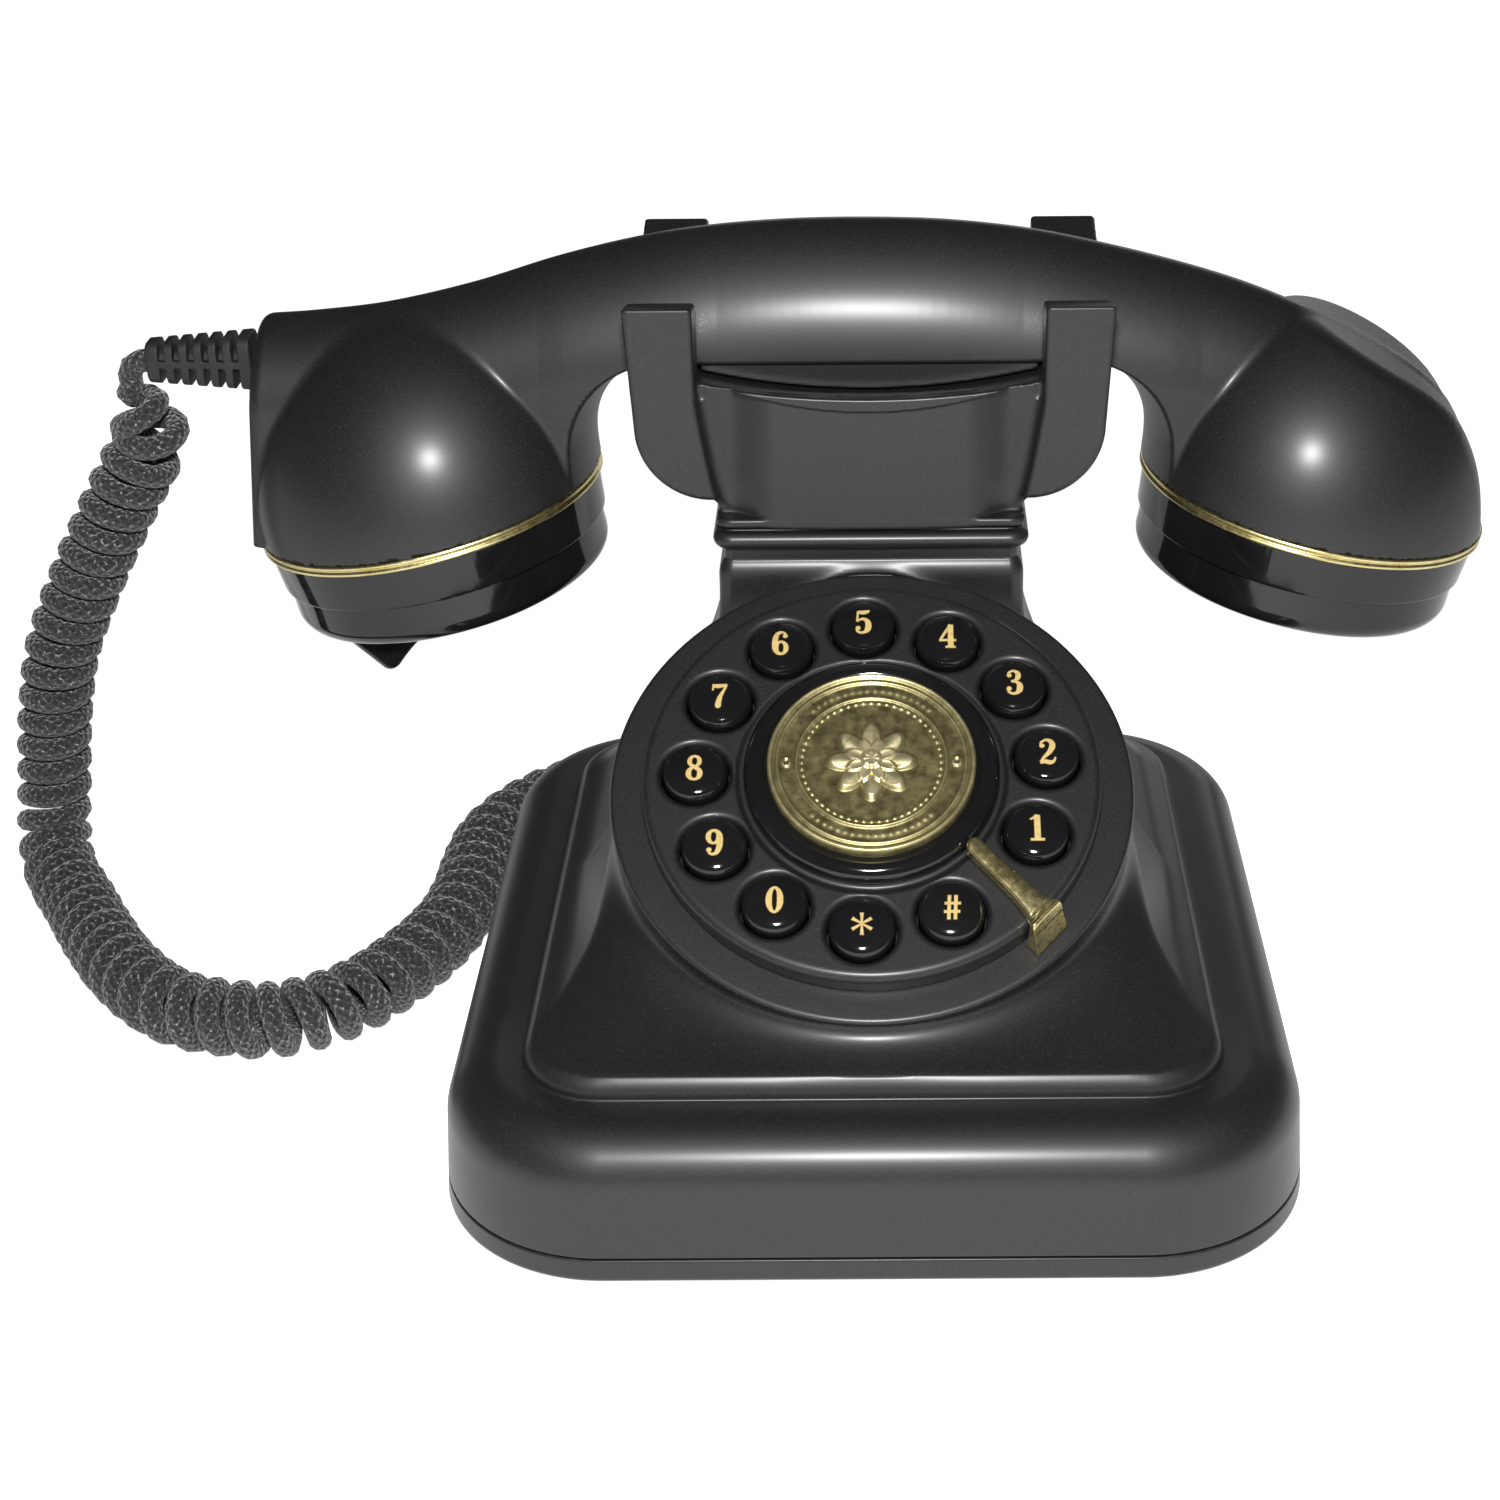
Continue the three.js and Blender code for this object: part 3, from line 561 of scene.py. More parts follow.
def add_cord():
    lead, curl, tail = cord_route()
    spacing = 0.25
    middle = spline(lead + curl + tail, spacing)
    along = np.arange(len(middle)) * spacing
    start = spacing * np.argmin(np.linalg.norm(middle - lead[-1], axis=1))
    end = spacing * np.argmin(np.linalg.norm(middle - tail[0], axis=1))
    ease = share_of((along - start) / 9) * share_of((end - along) / 14)
    reach = (CORD["coil"] - CORD["wire"]) / 2 * np.sin(ease * math.pi / 2)
    turns = np.cumsum(np.where((along > start) & (along < end), spacing / CORD["pitch"], 0))
    one, other = frames_along(middle, np.array([0.0, -1.0, 0.0]))
    angle = 2 * math.pi * turns[:, None]
    wire = middle + reach[:, None] * (np.cos(angle) * one + np.sin(angle) * other)
    ring_spacing, sides = 2.2, 10
    wire = spline(wire[::2], ring_spacing)
    points, faces = tube(wire, CORD["wire"] / 2, sides)
    stands_for = ["cord_lead_handset", "cord_curl", "cord_lead_base"]
    obj = piece("curly_cord", points, faces, BRAID, None, stands_for, crease=80)
    uv = obj.data.uv_layers.new(name="braid")
    for polygon in obj.data.polygons:
        numbers = [obj.data.loops[k].vertex_index for k in polygon.loop_indices]
        last = any(n % sides == 0 for n in numbers) and any(n % sides == sides - 1 for n in numbers)
        for loop, number in zip(polygon.loop_indices, numbers):
            turn = 1.0 if last and number % sides == 0 else (number % sides) / sides
            uv.data[loop].uv = ((number // sides) * ring_spacing, turn)
    path = (wire + (0, SHIFT_Y, 0)) * 0.001
    length = float(np.linalg.norm(np.diff(path, axis=0), axis=1).sum())
    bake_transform(obj)
    return obj, path, length


# ---- base ----
def bell_field(x, y, z):
    """The concave body that rises from the step and narrows into the neck."""
    share = share_of((z - STEP["top"]) / (NECK["foot"] - STEP["top"]))
    fall = (1 - share)**2.2
    half_x = NECK["half_x"] + (STEP["half_x"] - STEP["edge"] - NECK["half_x"]) * fall
    front = NECK["front"] + (STEP["edge"] - STEP["half_y"] - NECK["front"]) * fall
    back = NECK["back"] + (STEP["half_y"] - STEP["edge"] - NECK["back"]) * fall
    corner = NECK["corner"] + (STEP["corner"] - NECK["corner"]) * fall
    plan = round_rect(x, y - (front + back) / 2, half_x, (back - front) / 2, corner)
    slope = 1.3 * (1 - share)**1.2
    return plan / np.sqrt(1 + slope**2)


def neck_plan(x, y, grow=0.0):
    middle, half = (NECK["front"] + NECK["back"]) / 2, (NECK["back"] - NECK["front"]) / 2
    return round_rect(x, y - middle, NECK["half_x"] + grow, half + grow, NECK["corner"] + grow)


def wall_plan(x, y, z):
    """The base's outer walls, which lean out towards the ground."""
    plan = round_rect(x, y, BASE["half_x"], BASE["half_y"], BASE["corner"])
    return plan - BASE["lean"] * np.maximum(1 - z / BASE["wall"], 0)


def housing_field(x, y, z):
    v, h = to_dial(y, z)
    r = np.hypot(x, v)
    skirt = round_and(wall_plan(x, y, z), z - BASE["top"], BASE["shoulder"])
    step = round_rect(x, y, STEP["half_x"], STEP["half_y"], STEP["corner"])
    step = round_and(step, z - STEP["top"], STEP["edge"])
    bell = np.maximum(bell_field(x, y, z), np.maximum(z - NECK["top"], 20 - z))
    bell = np.maximum(bell, np.minimum(h + 1, DIAL["collar"] - 1 - v))
    drum = np.maximum(r - DIAL["collar"] + 0.3, -h - DIAL["drum"])
    blend = 12 - 9 * share_of((z - 55) / 20)
    body = soft_or(round_and(bell, z - NECK["ledge"], 5.5), drum, blend)
    body = np.maximum(body, z - NECK["ledge"])
    body = round_cut(body, np.maximum(r - DIAL["collar"] + 0.3, -0.8 - h), 0.4)
    core = np.maximum(neck_plan(x, y, -1.3), np.maximum(z - NECK["top"], 60 - z))
    bead_radius = 1.8
    bead = np.hypot(np.maximum(neck_plan(x, y, 0.9) + bead_radius, 0), z - NECK["bead"]) - bead_radius
    body = np.minimum(np.minimum(body, core), bead)
    body = soft_or(soft_or(skirt, step, 0.5), body, 3)
    body = round_and(body, BASE["bottom"] - z, 0.5)
    well = np.maximum(r - 41, -6 - h)
    room = np.maximum(round_rect(x, y, BASE["half_x"] - 6, BASE["half_y"] - 6, 25), z - 24)
    shaft = box_field(x, y, z, (-18, 38.5, 2), (27, 55.5, 112), 1)
    left, right = JACK["x"] - JACK["half_x"] - JACK["gap"], JACK["x"] + JACK["half_x"] + JACK["gap"]
    low, high = JACK["low"] - JACK["gap"], JACK["high"] + JACK["gap"]
    jacks = box_field(np.abs(x), y, z, (left, JACK["front"] - 2, low), (right, 90, high), 1)
    hollow = np.minimum(np.minimum(well, room), np.minimum(shaft, jacks))
    return round_cut(body, hollow, 0.5)


def tray_field(x, y, z):
    low = TRAY["low"]
    tray = round_and(round_and(wall_plan(x, y, z), low - z, 1.2), z - TRAY["high"], 0.3)
    groove = np.hypot(round_rect(x, y, 66, 69, 20), z - low) - 0.7
    pocket = np.maximum(round_rect(x, y, 74, 77, 27), TRAY["floor"] - z)
    slots = box_field((x + 1000) % 7 - 3.5, y - 34, z, (-1.1, -14, -3), (1.1, 14, 9), 1)
    slots = np.maximum(slots, np.abs(x) - 24.4)
    holes = np.hypot(np.abs(x) - SCREW["x"], np.abs(y) - SCREW["y"]) - SCREW["head"] - 0.4
    feet = np.hypot(np.abs(x) - FOOT["x"], np.abs(y) - FOOT["y"]) - FOOT["radius"] - 0.3
    feet = np.maximum(feet, z - FOOT["high"] - 0.3)
    openings = np.minimum(np.minimum(slots, holes), np.minimum(groove, feet))
    return round_cut(tray, np.minimum(pocket, openings), 0.25)


def jack_field(x, y, z):
    half, front = JACK["half_x"], JACK["front"]
    body = box_field(x, y, z, (-half, front, JACK["low"]), (half, JACK["back"], JACK["high"]), 0.6)
    socket = box_field(x, y, z, (-4, 70, 10.3), (4, 90, 16.9), 0.4)
    latch = box_field(x, y, z, (-1.7, 70, 14), (1.7, 90, 18.2), 0.3)
    return round_cut(body, np.minimum(socket, latch), 0.4)


def screw_field(x, y, z):
    r = np.hypot(x, y)
    head = round_and(r - SCREW["head"], np.abs(z - 1.9) - 0.9, 0.35)
    shank = np.maximum(r - SCREW["shank"], np.abs(z - 8) - 5.9)
    half_slot, reach = 0.4, 1.8
    cross = np.maximum(np.abs(x) - half_slot, np.abs(y) - reach)
    cross = np.minimum(cross, np.maximum(np.abs(y) - half_slot, np.abs(x) - reach))
    return np.maximum(np.minimum(head, shank), -np.maximum(cross, z - 1.8))


def add_base():
    fine = [(4, 7.5, 0.3), (31, 34.5, 0.55), (89.5, 98, 0.4)]
    axes = [levels(-81, 81, 0.9), levels(-84, 84, 0.9), levels(3, 99, 0.9, fine)]
    sculpted("housing", housing_field, axes, SHELL, "base", ["base_housing"])
    axes = [levels(-81, 81, 0.9), levels(-84, 84, 0.9), levels(0, 6.4, 0.9, [(0, 7, 0.3)])]
    sculpted("tray", tray_field, axes, SHELL, "base", ["bottom_tray"])
    outer, inner = DIAL["collar"], 40.6
    collar = [[inner, -2.4], [outer - 0.3, -2.4, 0.3], [outer, -2.0, 0.2], [outer, -0.5, 0.5]]
    collar += [[outer - 0.6, 0, 0.5], [inner + 0.3, 0, 0.3], [inner, -0.3, 0.3]]
    points, faces = lathe(collar, 128, closed=True)
    piece("collar", from_dial(points), faces, SHELL, "base")
    axes = [levels(-7.5, 7.5, 0.4), levels(66.5, 82, 0.4), levels(6.5, 21, 0.4)]
    points, faces, normals = sculpt(jack_field, axes, reach=0.3)
    for side, node in ((-1, "handset_jack"), (1, "line_jack")):
        moved = points + (side * JACK["x"], 0, 0)
        piece("socket_" + node.split("_")[0], moved, faces, GLOSS, "base", [node], normals)
    radius, high = FOOT["radius"], FOOT["high"]
    foot = [[0, 0], [radius - 0.6, 0, 0.3], [radius, 0.5, 0.3], [radius, high, 0.2], [0, high]]
    foot_points, foot_faces = lathe(foot, 40)
    axes = [levels(-4, 4, 0.22), levels(-4, 4, 0.22), levels(0.4, 14.6, 0.35)]
    screw_points, screw_faces, screw_normals = sculpt(screw_field, axes, reach=0.2)
    for sx, sy, where in CORNERS:
        moved = foot_points + (sx * FOOT["x"], sy * FOOT["y"], 0)
        piece("foot_pad_" + where, moved, foot_faces, RUBBER, "base", ["foot_" + where])
        moved = screw_points + (sx * SCREW["x"], sy * SCREW["y"], 0)
        nodes = ["screw_" + where]
        piece("case_screw_" + where, moved, screw_faces, STEEL, "base", nodes, screw_normals)
    dress("ballast_plate", STEEL)
    dress("main_board", BOARD)
    dress("ringer", GLOSS)
    dress("hook_switch", GLOSS)


def dress(node, material):
    """Gives a CAD node that stays a finished material."""
    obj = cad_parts[node]
    for place in obj.material_slots:
        place.material = material
    if not obj.material_slots:
        obj.data.materials.append(material)


# ---- keypad ----
KEY_NAMES = ["1", "2", "3", "4", "5", "6", "7", "8", "9", "0", "star", "hash"]


def key_place(index):
    angle = math.radians(KEY["fifth"] + KEY["spacing"] * (index - 4))
    return KEY["circle"] * math.cos(angle), KEY["circle"] * math.sin(angle)


def disc_field(u, v, h):
    r = np.hypot(u, v)
    plate = round_and(round_and(r - DISC["radius"], h - DISC["top"], DISC["edge"]), 0.3 - h, 0.2)
    nearest = np.full(np.broadcast(u, v).shape, 99.0)
    for i in range(12):
        ku, kv = key_place(i)
        nearest = np.minimum(nearest, np.hypot(u - ku, v - kv))
    plate = round_cut(plate, nearest - DISC["hole"], 1.3)
    moat = np.hypot(r - BOSS_RADIUS - 0.5, h - DISC["top"]) - 0.9
    return round_cut(plate, moat, 0.7)


def stop_field(u, v, h):
    """The gold finger stop: u runs out from the keypad's middle, along the bar."""
    v = v - STOP["skew"] * (u - STOP["tip"])
    share = share_of((u - STOP["tip"]) / (STOP["edge"] - STOP["tip"]))
    half = 1.65 + 0.35 * share + 1.9 * share**7
    end = STOP["tip"] + 1.65
    tip = np.hypot(np.minimum(u - end, 0), v) - half
    bar = round_and(np.where(u < end, tip, np.abs(v) - half), h - STOP["top"] + 0.05 * v**2, 0.6)
    drop = (STOP["top"] - h) / 7.7
    outer = (u - STOP["edge"] - 2.2 * drop) / 1.04
    bar = round_and(np.maximum(bar, 5.6 - h), outer, 0.35)
    leg = round_and(np.abs(v) - 3.5 - 0.7 * drop, np.maximum(h - STOP["top"] + 0.1, 0.35 - h), 0.35)
    leg = round_and(leg, np.maximum(outer, DISC["radius"] + 0.35 - u), 0.3)
    lines = np.minimum(np.hypot(u - 42.6, h - STOP["top"]), np.hypot(u - 43.6, h - STOP["top"])) - 0.28
    return round_cut(soft_or(bar, leg, 0.4), lines, 0.12)


def ridge(distance, width):
    return np.exp(-(distance / width)**2)


def medal_height(u, v):
    """The medallion's face: a double rim, a ring, two rivets and a plain petalled rosette."""
    r, angle = np.hypot(u, v), np.arctan2(v, u)
    height = np.full_like(r, 8.85)
    height += 0.55 * ridge(r - 18.9, 0.55) + 0.4 * ridge(r - 17.5, 0.35) + 0.4 * ridge(r - MEDAL["ring"], 0.32)
    beads = 0.5 + 0.5 * np.cos(angle * 56)
    height += 0.28 * beads * ridge(r - 12.9, 0.35)
    for side in (-1, 1):
        d = np.hypot(u - side * 15.8, v)
        height += 0.3 * ridge(d - 0.75, 0.25)
    petals = 8.6 * (0.62 + 0.38 * np.abs(np.cos(angle * 4)))
    inside = share_of((petals - r) / 1.2)
    fold = np.abs(np.cos(angle * 4))**3
    height += inside * (0.45 + 0.35 * fold * share_of(r / 6))
    inner = 5.2 * (0.62 + 0.38 * np.abs(np.sin(angle * 4)))
    height += 0.4 * share_of((inner - r) / 0.8)
    height += 0.5 * share_of((2.1 - r) / 0.7)
    scroll = ridge(r - 15.7, 0.5) * (np.abs(np.cos(angle)) < 0.72)
    height += 0.22 * scroll * (0.5 + 0.5 * np.cos(angle * 70))
    return height


def add_medallion():
    rings, sides = 130, 256
    radii = np.linspace(0.08, 19.2, rings)
    angles = np.arange(sides) * 2 * math.pi / sides
    u = radii[:, None] * np.cos(angles)
    v = radii[:, None] * np.sin(angles)
    h = medal_height(u, v)
    grid = np.stack([u, v, h], axis=-1).reshape(-1, 3)
    edge = MEDAL["radius"] * np.stack([np.cos(angles), np.sin(angles), np.zeros(sides)], axis=-1)
    skirt = [edge + (0, 0, height) for height in (h[-1].mean() - 0.25, MEDAL["low"])]
    points = np.vstack([grid, *skirt, [[0, 0, h[0].mean()], [0, 0, MEDAL["low"]]]])
    faces = []
    for ring in range(rings + 1):
        for i in range(sides):
            j = (i + 1) % sides
            a, b = ring * sides + i, ring * sides + j
            faces.append([a + sides, b + sides, b, a])
    for i in range(sides):
        j = (i + 1) % sides
        last = (rings + 1) * sides
        faces.append([i, j, len(points) - 2])
        faces.append([last + j, last + i, len(points) - 1])
    obj = piece("medal", from_dial(points), faces, BRASS, "base", ["medallion"], crease=60)
    relief = share_of((points[:, 2] - 8.6) / 1.1)
    relief[grid.shape[0]:] = 0.3
    layer = obj.data.attributes.new("relief", "FLOAT", "POINT")
    layer.data.foreach_set("value", relief.astype(np.float32))


# Each glyph is strokes of [x, y, width] in a box 62 wide and 100 high; one point is a round dot.
def ellipse_stroke(cx, cy, rx, ry, side_width, top_width):
    stroke = []
    for k in range(25):
        a = 2 * math.pi * k / 24
        width = top_width + (side_width - top_width) * math.cos(a)**2
        stroke.append([cx + rx * math.cos(a), cy + ry * math.sin(a), width])
    return stroke


SIX = [
    [[47, 80, 7], [44, 90, 8], [34, 95, 9], [21, 89, 14], [13, 72, 18],
     [11, 50, 20], [12, 28, 20], [19, 12, 15], [31, 5, 10]],
    ellipse_stroke(31.5, 30, 17.5, 24.5, 17, 9),
    [[45.5, 79, 17]],
]
GLYPHS = {
    "1": [[[33, 3, 20], [33, 96, 20]],
          [[10, 80, 6], [20, 84, 8], [34, 95, 12]],
          [[10, 4, 9], [56, 4, 9]]],
    "2": [[[9, 72, 7], [12, 86, 8], [29, 95, 10], [45, 87, 17], [48, 69, 20],
           [38, 47, 16], [18, 25, 10], [8, 8, 8]],
          [[6, 8, 12], [22, 11, 15], [40, 7, 15], [52, 13, 9], [57, 27, 5]],
          [[14, 72, 17]]],
    "3": [[[10, 78, 7], [15, 90, 8], [30, 95.5, 9], [43, 87, 16], [44, 70, 18],
           [35, 57, 10], [21, 53, 8]],
          [[21, 53, 8], [38, 50, 11], [49, 38, 19], [48, 19, 20], [38, 7, 12],
           [25, 4.5, 9], [12, 11, 8], [8, 23, 6]],
          [[15, 77, 16]], [[13, 24, 17]]],
    "4": [[[42, 96, 9], [24, 64, 9], [7, 33, 9]],
          [[3, 31, 9], [60, 31, 9]],
          [[42, 95, 19], [42, 4, 19]], [[24, 4, 8], [58, 4, 8]]],
    "5": [[[12, 90, 12], [28, 88, 16], [44, 91, 14], [52, 97, 5]],
          [[13, 93, 7], [10, 51, 7]],
          [[10, 50, 5], [24, 60, 9], [41, 56, 15], [49, 38, 20], [46, 18, 20],
           [35, 6.5, 11], [22, 5, 9], [11, 11, 8], [8, 22, 6]],
          [[13.5, 23, 17]]],
    "6": SIX,
    "7": [[[8, 89, 13], [26, 88, 17], [42, 90, 13], [56, 93, 8]],
          [[9, 97, 5], [8, 71, 6]],
          [[54, 91, 7], [43, 66, 10], [33, 43, 15], [28, 22, 19], [27, 10, 20]],
          [[27, 10, 20]]],
    "8": [ellipse_stroke(31, 74.5, 16.5, 20, 15, 9),
          ellipse_stroke(31, 27.5, 19, 22.5, 18, 9),
          [[20, 60, 12], [42, 44, 14]]],
    "9": [[[62 - x, 100 - y, w] for x, y, w in stroke] for stroke in SIX],
    "0": [ellipse_stroke(31, 50, 18.5, 44.5, 20, 9)],
    "star": [[[31, 50, 5], [31 + 36 * math.cos(a), 50 + 40 * math.sin(a), 12]]
             for a in np.radians([90, 150, 210, 270, 330, 30])],
    "hash": [[[20, 6, 11], [24, 94, 11]], [[41, 6, 11], [45, 94, 11]],
             [[5, 34, 10], [57, 34, 10]], [[8, 64, 10], [60, 64, 10]]],
}
# A key's outline from the middle of its top down to the middle of its underside: radius, height, fillet.
KEY_DOME = [[0, 7.0], [3.0, 6.86], [4.6, 6.55, 1.0], [5.6, 6.0, 1.2], [6.1, 4.9, 1.0]]
KEY_DOME += [[6.1, 0.4, 0.5], [5.4, -0.5, 0.4], [0, -0.5]]


def key_top(r):
    """The height of a key's domed top."""
    outline = filleted(KEY_DOME, 6)
    top = outline[outline[:, 1] > 4.9]
    return np.interp(r, top[:, 0], top[:, 1])


def glyph_mesh(strokes, grow, lift):
    """Thin closed ribbons laid over a key's dome. grow widens each stroke, for the dark edge."""
    points, faces = [], []
    scale = KEY["digit"] / 100

    def add_prism(outline):
        start, count = len(points), len(outline)
        for level in (lift, -0.15):
            for x, y in outline:
                points.append([x, y, key_top(math.hypot(x, y)) + level])
        top = list(range(start, start + count))
        faces.append(top)
        faces.append([k + count for k in top][::-1])
        for k in range(count):
            a, b = start + k, start + (k + 1) % count
            faces.append([a, a + count, b + count, b])

    for stroke in strokes:
        p = np.array(stroke, float)
        p[:, :2] = (p[:, :2] - (31, 50)) * scale
        p[:, 2] = p[:, 2] * scale / 2 + grow
        if len(p) == 1:
            angles = np.arange(20) * 2 * math.pi / 20
            add_prism([[p[0, 0] + p[0, 2] * math.cos(a), p[0, 1] + p[0, 2] * math.sin(a)] for a in angles])
            continue
        path = spline(p, 0.22)
        tangent = np.gradient(path[:, :2], axis=0)
        tangent /= np.linalg.norm(tangent, axis=1)[:, None]
        path[0, :2] -= tangent[0] * grow
        path[-1, :2] += tangent[-1] * grow
        normal = np.stack([-tangent[:, 1], tangent[:, 0]], axis=1)
        left = path[:, :2] + normal * path[:, 2:]
        right = path[:, :2] - normal * path[:, 2:]
        for i in range(len(path) - 1):
            add_prism([right[i], right[i + 1], left[i + 1], left[i]])
    return np.array(points), faces


def add_keys():
    dome_points, dome_faces = lathe(KEY_DOME[::-1], 64)
    for i, name in enumerate(KEY_NAMES):
        ku, kv = key_place(i)
        body = f"key_{name}_button"
        button = from_dial(dome_points + (ku, kv, 0))
        piece("button_" + name, button, dome_faces, GLOSS, body, ["key_" + name])
        for material, grow, lift, word in ((BROWN, 0.13, 0.02, "edge"), (CREAM, 0.0, 0.035, "face")):
            points, faces = glyph_mesh(GLYPHS[name], grow, lift)
            piece(f"digit_{name}_{word}", from_dial(points + (ku, kv, 0)), faces, material, body)


def add_keypad():
    axes = [levels(-44.6, 44.6, 0.42), levels(-44.6, 44.6, 0.42), levels(-0.4, 6, 0.4)]
    sculpted("key_plate", disc_field, axes, SHELL, "base", ["keypad_disc"], from_dial)
    boss = [[0, 5.1], [BOSS_RADIUS, 5.1, 0.2], [BOSS_RADIUS + 0.1, 6.4, 1.2], [22.6, 7.8, 1.2]]
    boss += [[20.8, 7.9, 1.0], [19.7, 7.1, 0.5], [0, 7.1]]
    points, faces = lathe(boss, 128)
    piece("boss_ring", from_dial(points), faces, GLOSS, "base", ["keypad_boss"])
    add_medallion()
    angle = math.radians(STOP["angle"])
    c, s = math.cos(angle), math.sin(angle)
    turn = np.array([[c, s, 0], [-s, c, 0], [0, 0, 1]])
    axes = [levels(21, 49, 0.28), levels(-9, 5, 0.28), levels(-0.4, 9.2, 0.28)]
    sculpted("stop_bar", stop_field, axes, GOLD, "base", ["finger_stop"],
             lambda p: from_dial(np.asarray(p) @ turn))
    add_keys()
    dress("keypad_mat", RUBBER)
    dress("keypad_board", BOARD)


# ---- cradle and hook ----
def horn_plan(x, z):
    """A horn seen from the front: straight above, sweeping in to the neck below."""
    x = np.abs(x)
    above = z - SWEEP["z"]
    sweep = np.hypot(np.maximum(x - SWEEP["x"], 0) / SWEEP["across"], np.maximum(-above, 0) / SWEEP["up"]) - 1
    outer = np.where(above > 0, x - CRADLE["outer"] - above * SWEEP["lean"], sweep * SWEEP["across"])
    inner = 30.0 + 3.6 * share_of((z - 103) / 20)**0.8 - x
    return np.maximum(outer, inner)


def saddle_valley(x):
    """The height of the saddle between its two lips, which the rim under the handset follows."""
    return CRADLE["valley"] + 3.9 * (x / 33)**2


def cradle_field(x, y, z):
    wide = horn_plan(x, z)
    slope = 0.21
    thick = CRADLE["thick"] / 2
    front_top = z - CRADLE["horn"] + (y - NECK["front"]) * slope
    front = round_and(round_and(wide, np.abs(y - NECK["front"] - thick) - thick, 0.9), front_top, 0.7)
    rear_top = z - CRADLE["horn"] - 0.6 + (CRADLE["back"] - y) * slope
    rear = round_and(round_and(wide, np.abs(y - CRADLE["back"] + thick) - thick, 0.9), rear_top, 0.7)
    rear = np.maximum(rear, 108 - z)
    wing = np.maximum(round_and(wide, np.abs(y - HANDLE["y"]) - 26, 1), z - 121)
    under = 88 - 28 * share_of((118 - z) / 16)**2
    wing = np.maximum(wing, (y - under) * 0.5)
    back = NECK["back"] + (CRADLE["back"] - NECK["back"] - 1) * share_of((z - 101) / 17)**0.7
    half_x = NECK["half_x"] - 0.4 + 5 * share_of((z - 100) / 8)
    beside = share_of((np.abs(x) - 18.5) / 9)
    front_face = 28.4 + 0.8 * (x / 23.5)**2 + 3.4 * eased(beside)
    core = round_and(round_rect(x, y - 50, half_x, 50, 3), y - back, 2)
    core = round_and(core * 0.8, front_face - y, 0.8)
    parts = soft_or(core, wing, 3)
    from_lip = share_of((np.minimum(y, 2 * HANDLE["y"] - y) - 29.5) / 8)
    lip_top = CRADLE["lip"] + 2.4 * (x / 33)**2
    dip = lip_top + (saddle_valley(x) - lip_top) * eased(from_lip)
    parts = round_and(parts, (z - dip) * 0.9, 0.5)
    low_edge = 121.6 + x**2 * 0.0058
    lip = round_and(z - lip_top, low_edge - z, 0.35)
    lip = round_and(lip, 27.0 + 0.9 * (x / 23.5)**2 - y, 0.55)
    lip = np.maximum(np.maximum(lip, y - 31), np.abs(x) - 34.5)
    parts = soft_or(parts, lip, 0.3)
    parts = soft_or(parts, np.minimum(front, rear), 1.2)
    foot = round_and(neck_plan(x, y, 0.1), np.abs(z - 97.9) - 1.0, 0.7)
    parts = soft_or(parts, foot, 0.8)
    parts = round_and(parts, CRADLE["low"] - z, 0.4)
    holes = np.hypot(np.abs(x) - HOOK["x"], y - HOOK["y"]) - HOOK["hole"]
    hollow = box_field(x, y, z, (-22, 38, 80), (22, 58, 115), 1)
    return round_cut(parts, np.minimum(holes, hollow), 0.4)


def add_cradle():
    fine = [(95, 100, 0.35), (119, 128, 0.35)]
    axes = [levels(-48.5, 48.5, 0.62), levels(25, 90, 0.62), levels(95.5, 144, 0.62, fine)]
    sculpted("saddle", cradle_field, axes, SHELL, "base", ["cradle"])
    radius, top = HOOK["radius"], HOOK["top"]
    plunger = [[0, HOOK["low"]], [radius, HOOK["low"], 0.3], [radius, top - 0.9, 1.2]]
    plunger += [[radius - 1.2, top, 1], [0, top]]
    points, faces = lathe(plunger, 40)
    for side, where in ((-1, "left"), (1, "right")):
        moved = points + (side * HOOK["x"], HOOK["y"], 0)
        piece("plunger_" + where, moved, faces, GLOSS, "hook", ["hook_plunger_" + where])
    dress("hook_bar", GLOSS)


# ---- handset ----
def handle_top_outline():
    """The handset's outline over the top, in X and Z, from past the mouth end to the ear end."""
    over = [[-150, 130.8], [-135, 131.2], [-120.6, 131.9], [-109.8, 132.6], [-96, 134.3], [-79, 138.2],
            [-62, 143.4], [-46, 147.2], [-32, 149.4], [-16, 150.6], [0, 150.8], [16, 150.2], [32, 148.3],
            [46, 145.4], [62, 141.3], [76, 136.8], [89.4, 131.1], [101.3, 124.8]]
    ear = [[110.1, 119.2], [115.7, 114.4], [118.6, 110.6], [121.2, 105.4], [123, 100], [124.1, 94.6],
           [125.9, 85], [126.3, 80]]
    return spline(over + ear, 3.0)


OUTLINE = handle_top_outline()


def above_outline(x, z):
    """Distance above the handset's top outline in the X-Z plane: negative under it."""
    x, z = np.broadcast_arrays(x, z)
    flat_x, flat_z = x.ravel().astype(float), z.ravel().astype(float)
    a, b = OUTLINE[:-1], OUTLINE[1:]
    best = np.full(flat_x.shape, 1e9)
    sign = np.ones(flat_x.shape)
    for (ax, az), (bx, bz) in zip(a, b):
        ex, ez = bx - ax, bz - az
        t = share_of(((flat_x - ax) * ex + (flat_z - az) * ez) / (ex * ex + ez * ez))
        dx, dz = flat_x - ax - t * ex, flat_z - az - t * ez
        d = dx * dx + dz * dz
        nearer = d < best
        best = np.where(nearer, d, best)
        sign = np.where(nearer, np.sign(ex * dz - ez * dx), sign)
    return (np.sqrt(best) * sign).reshape(x.shape)


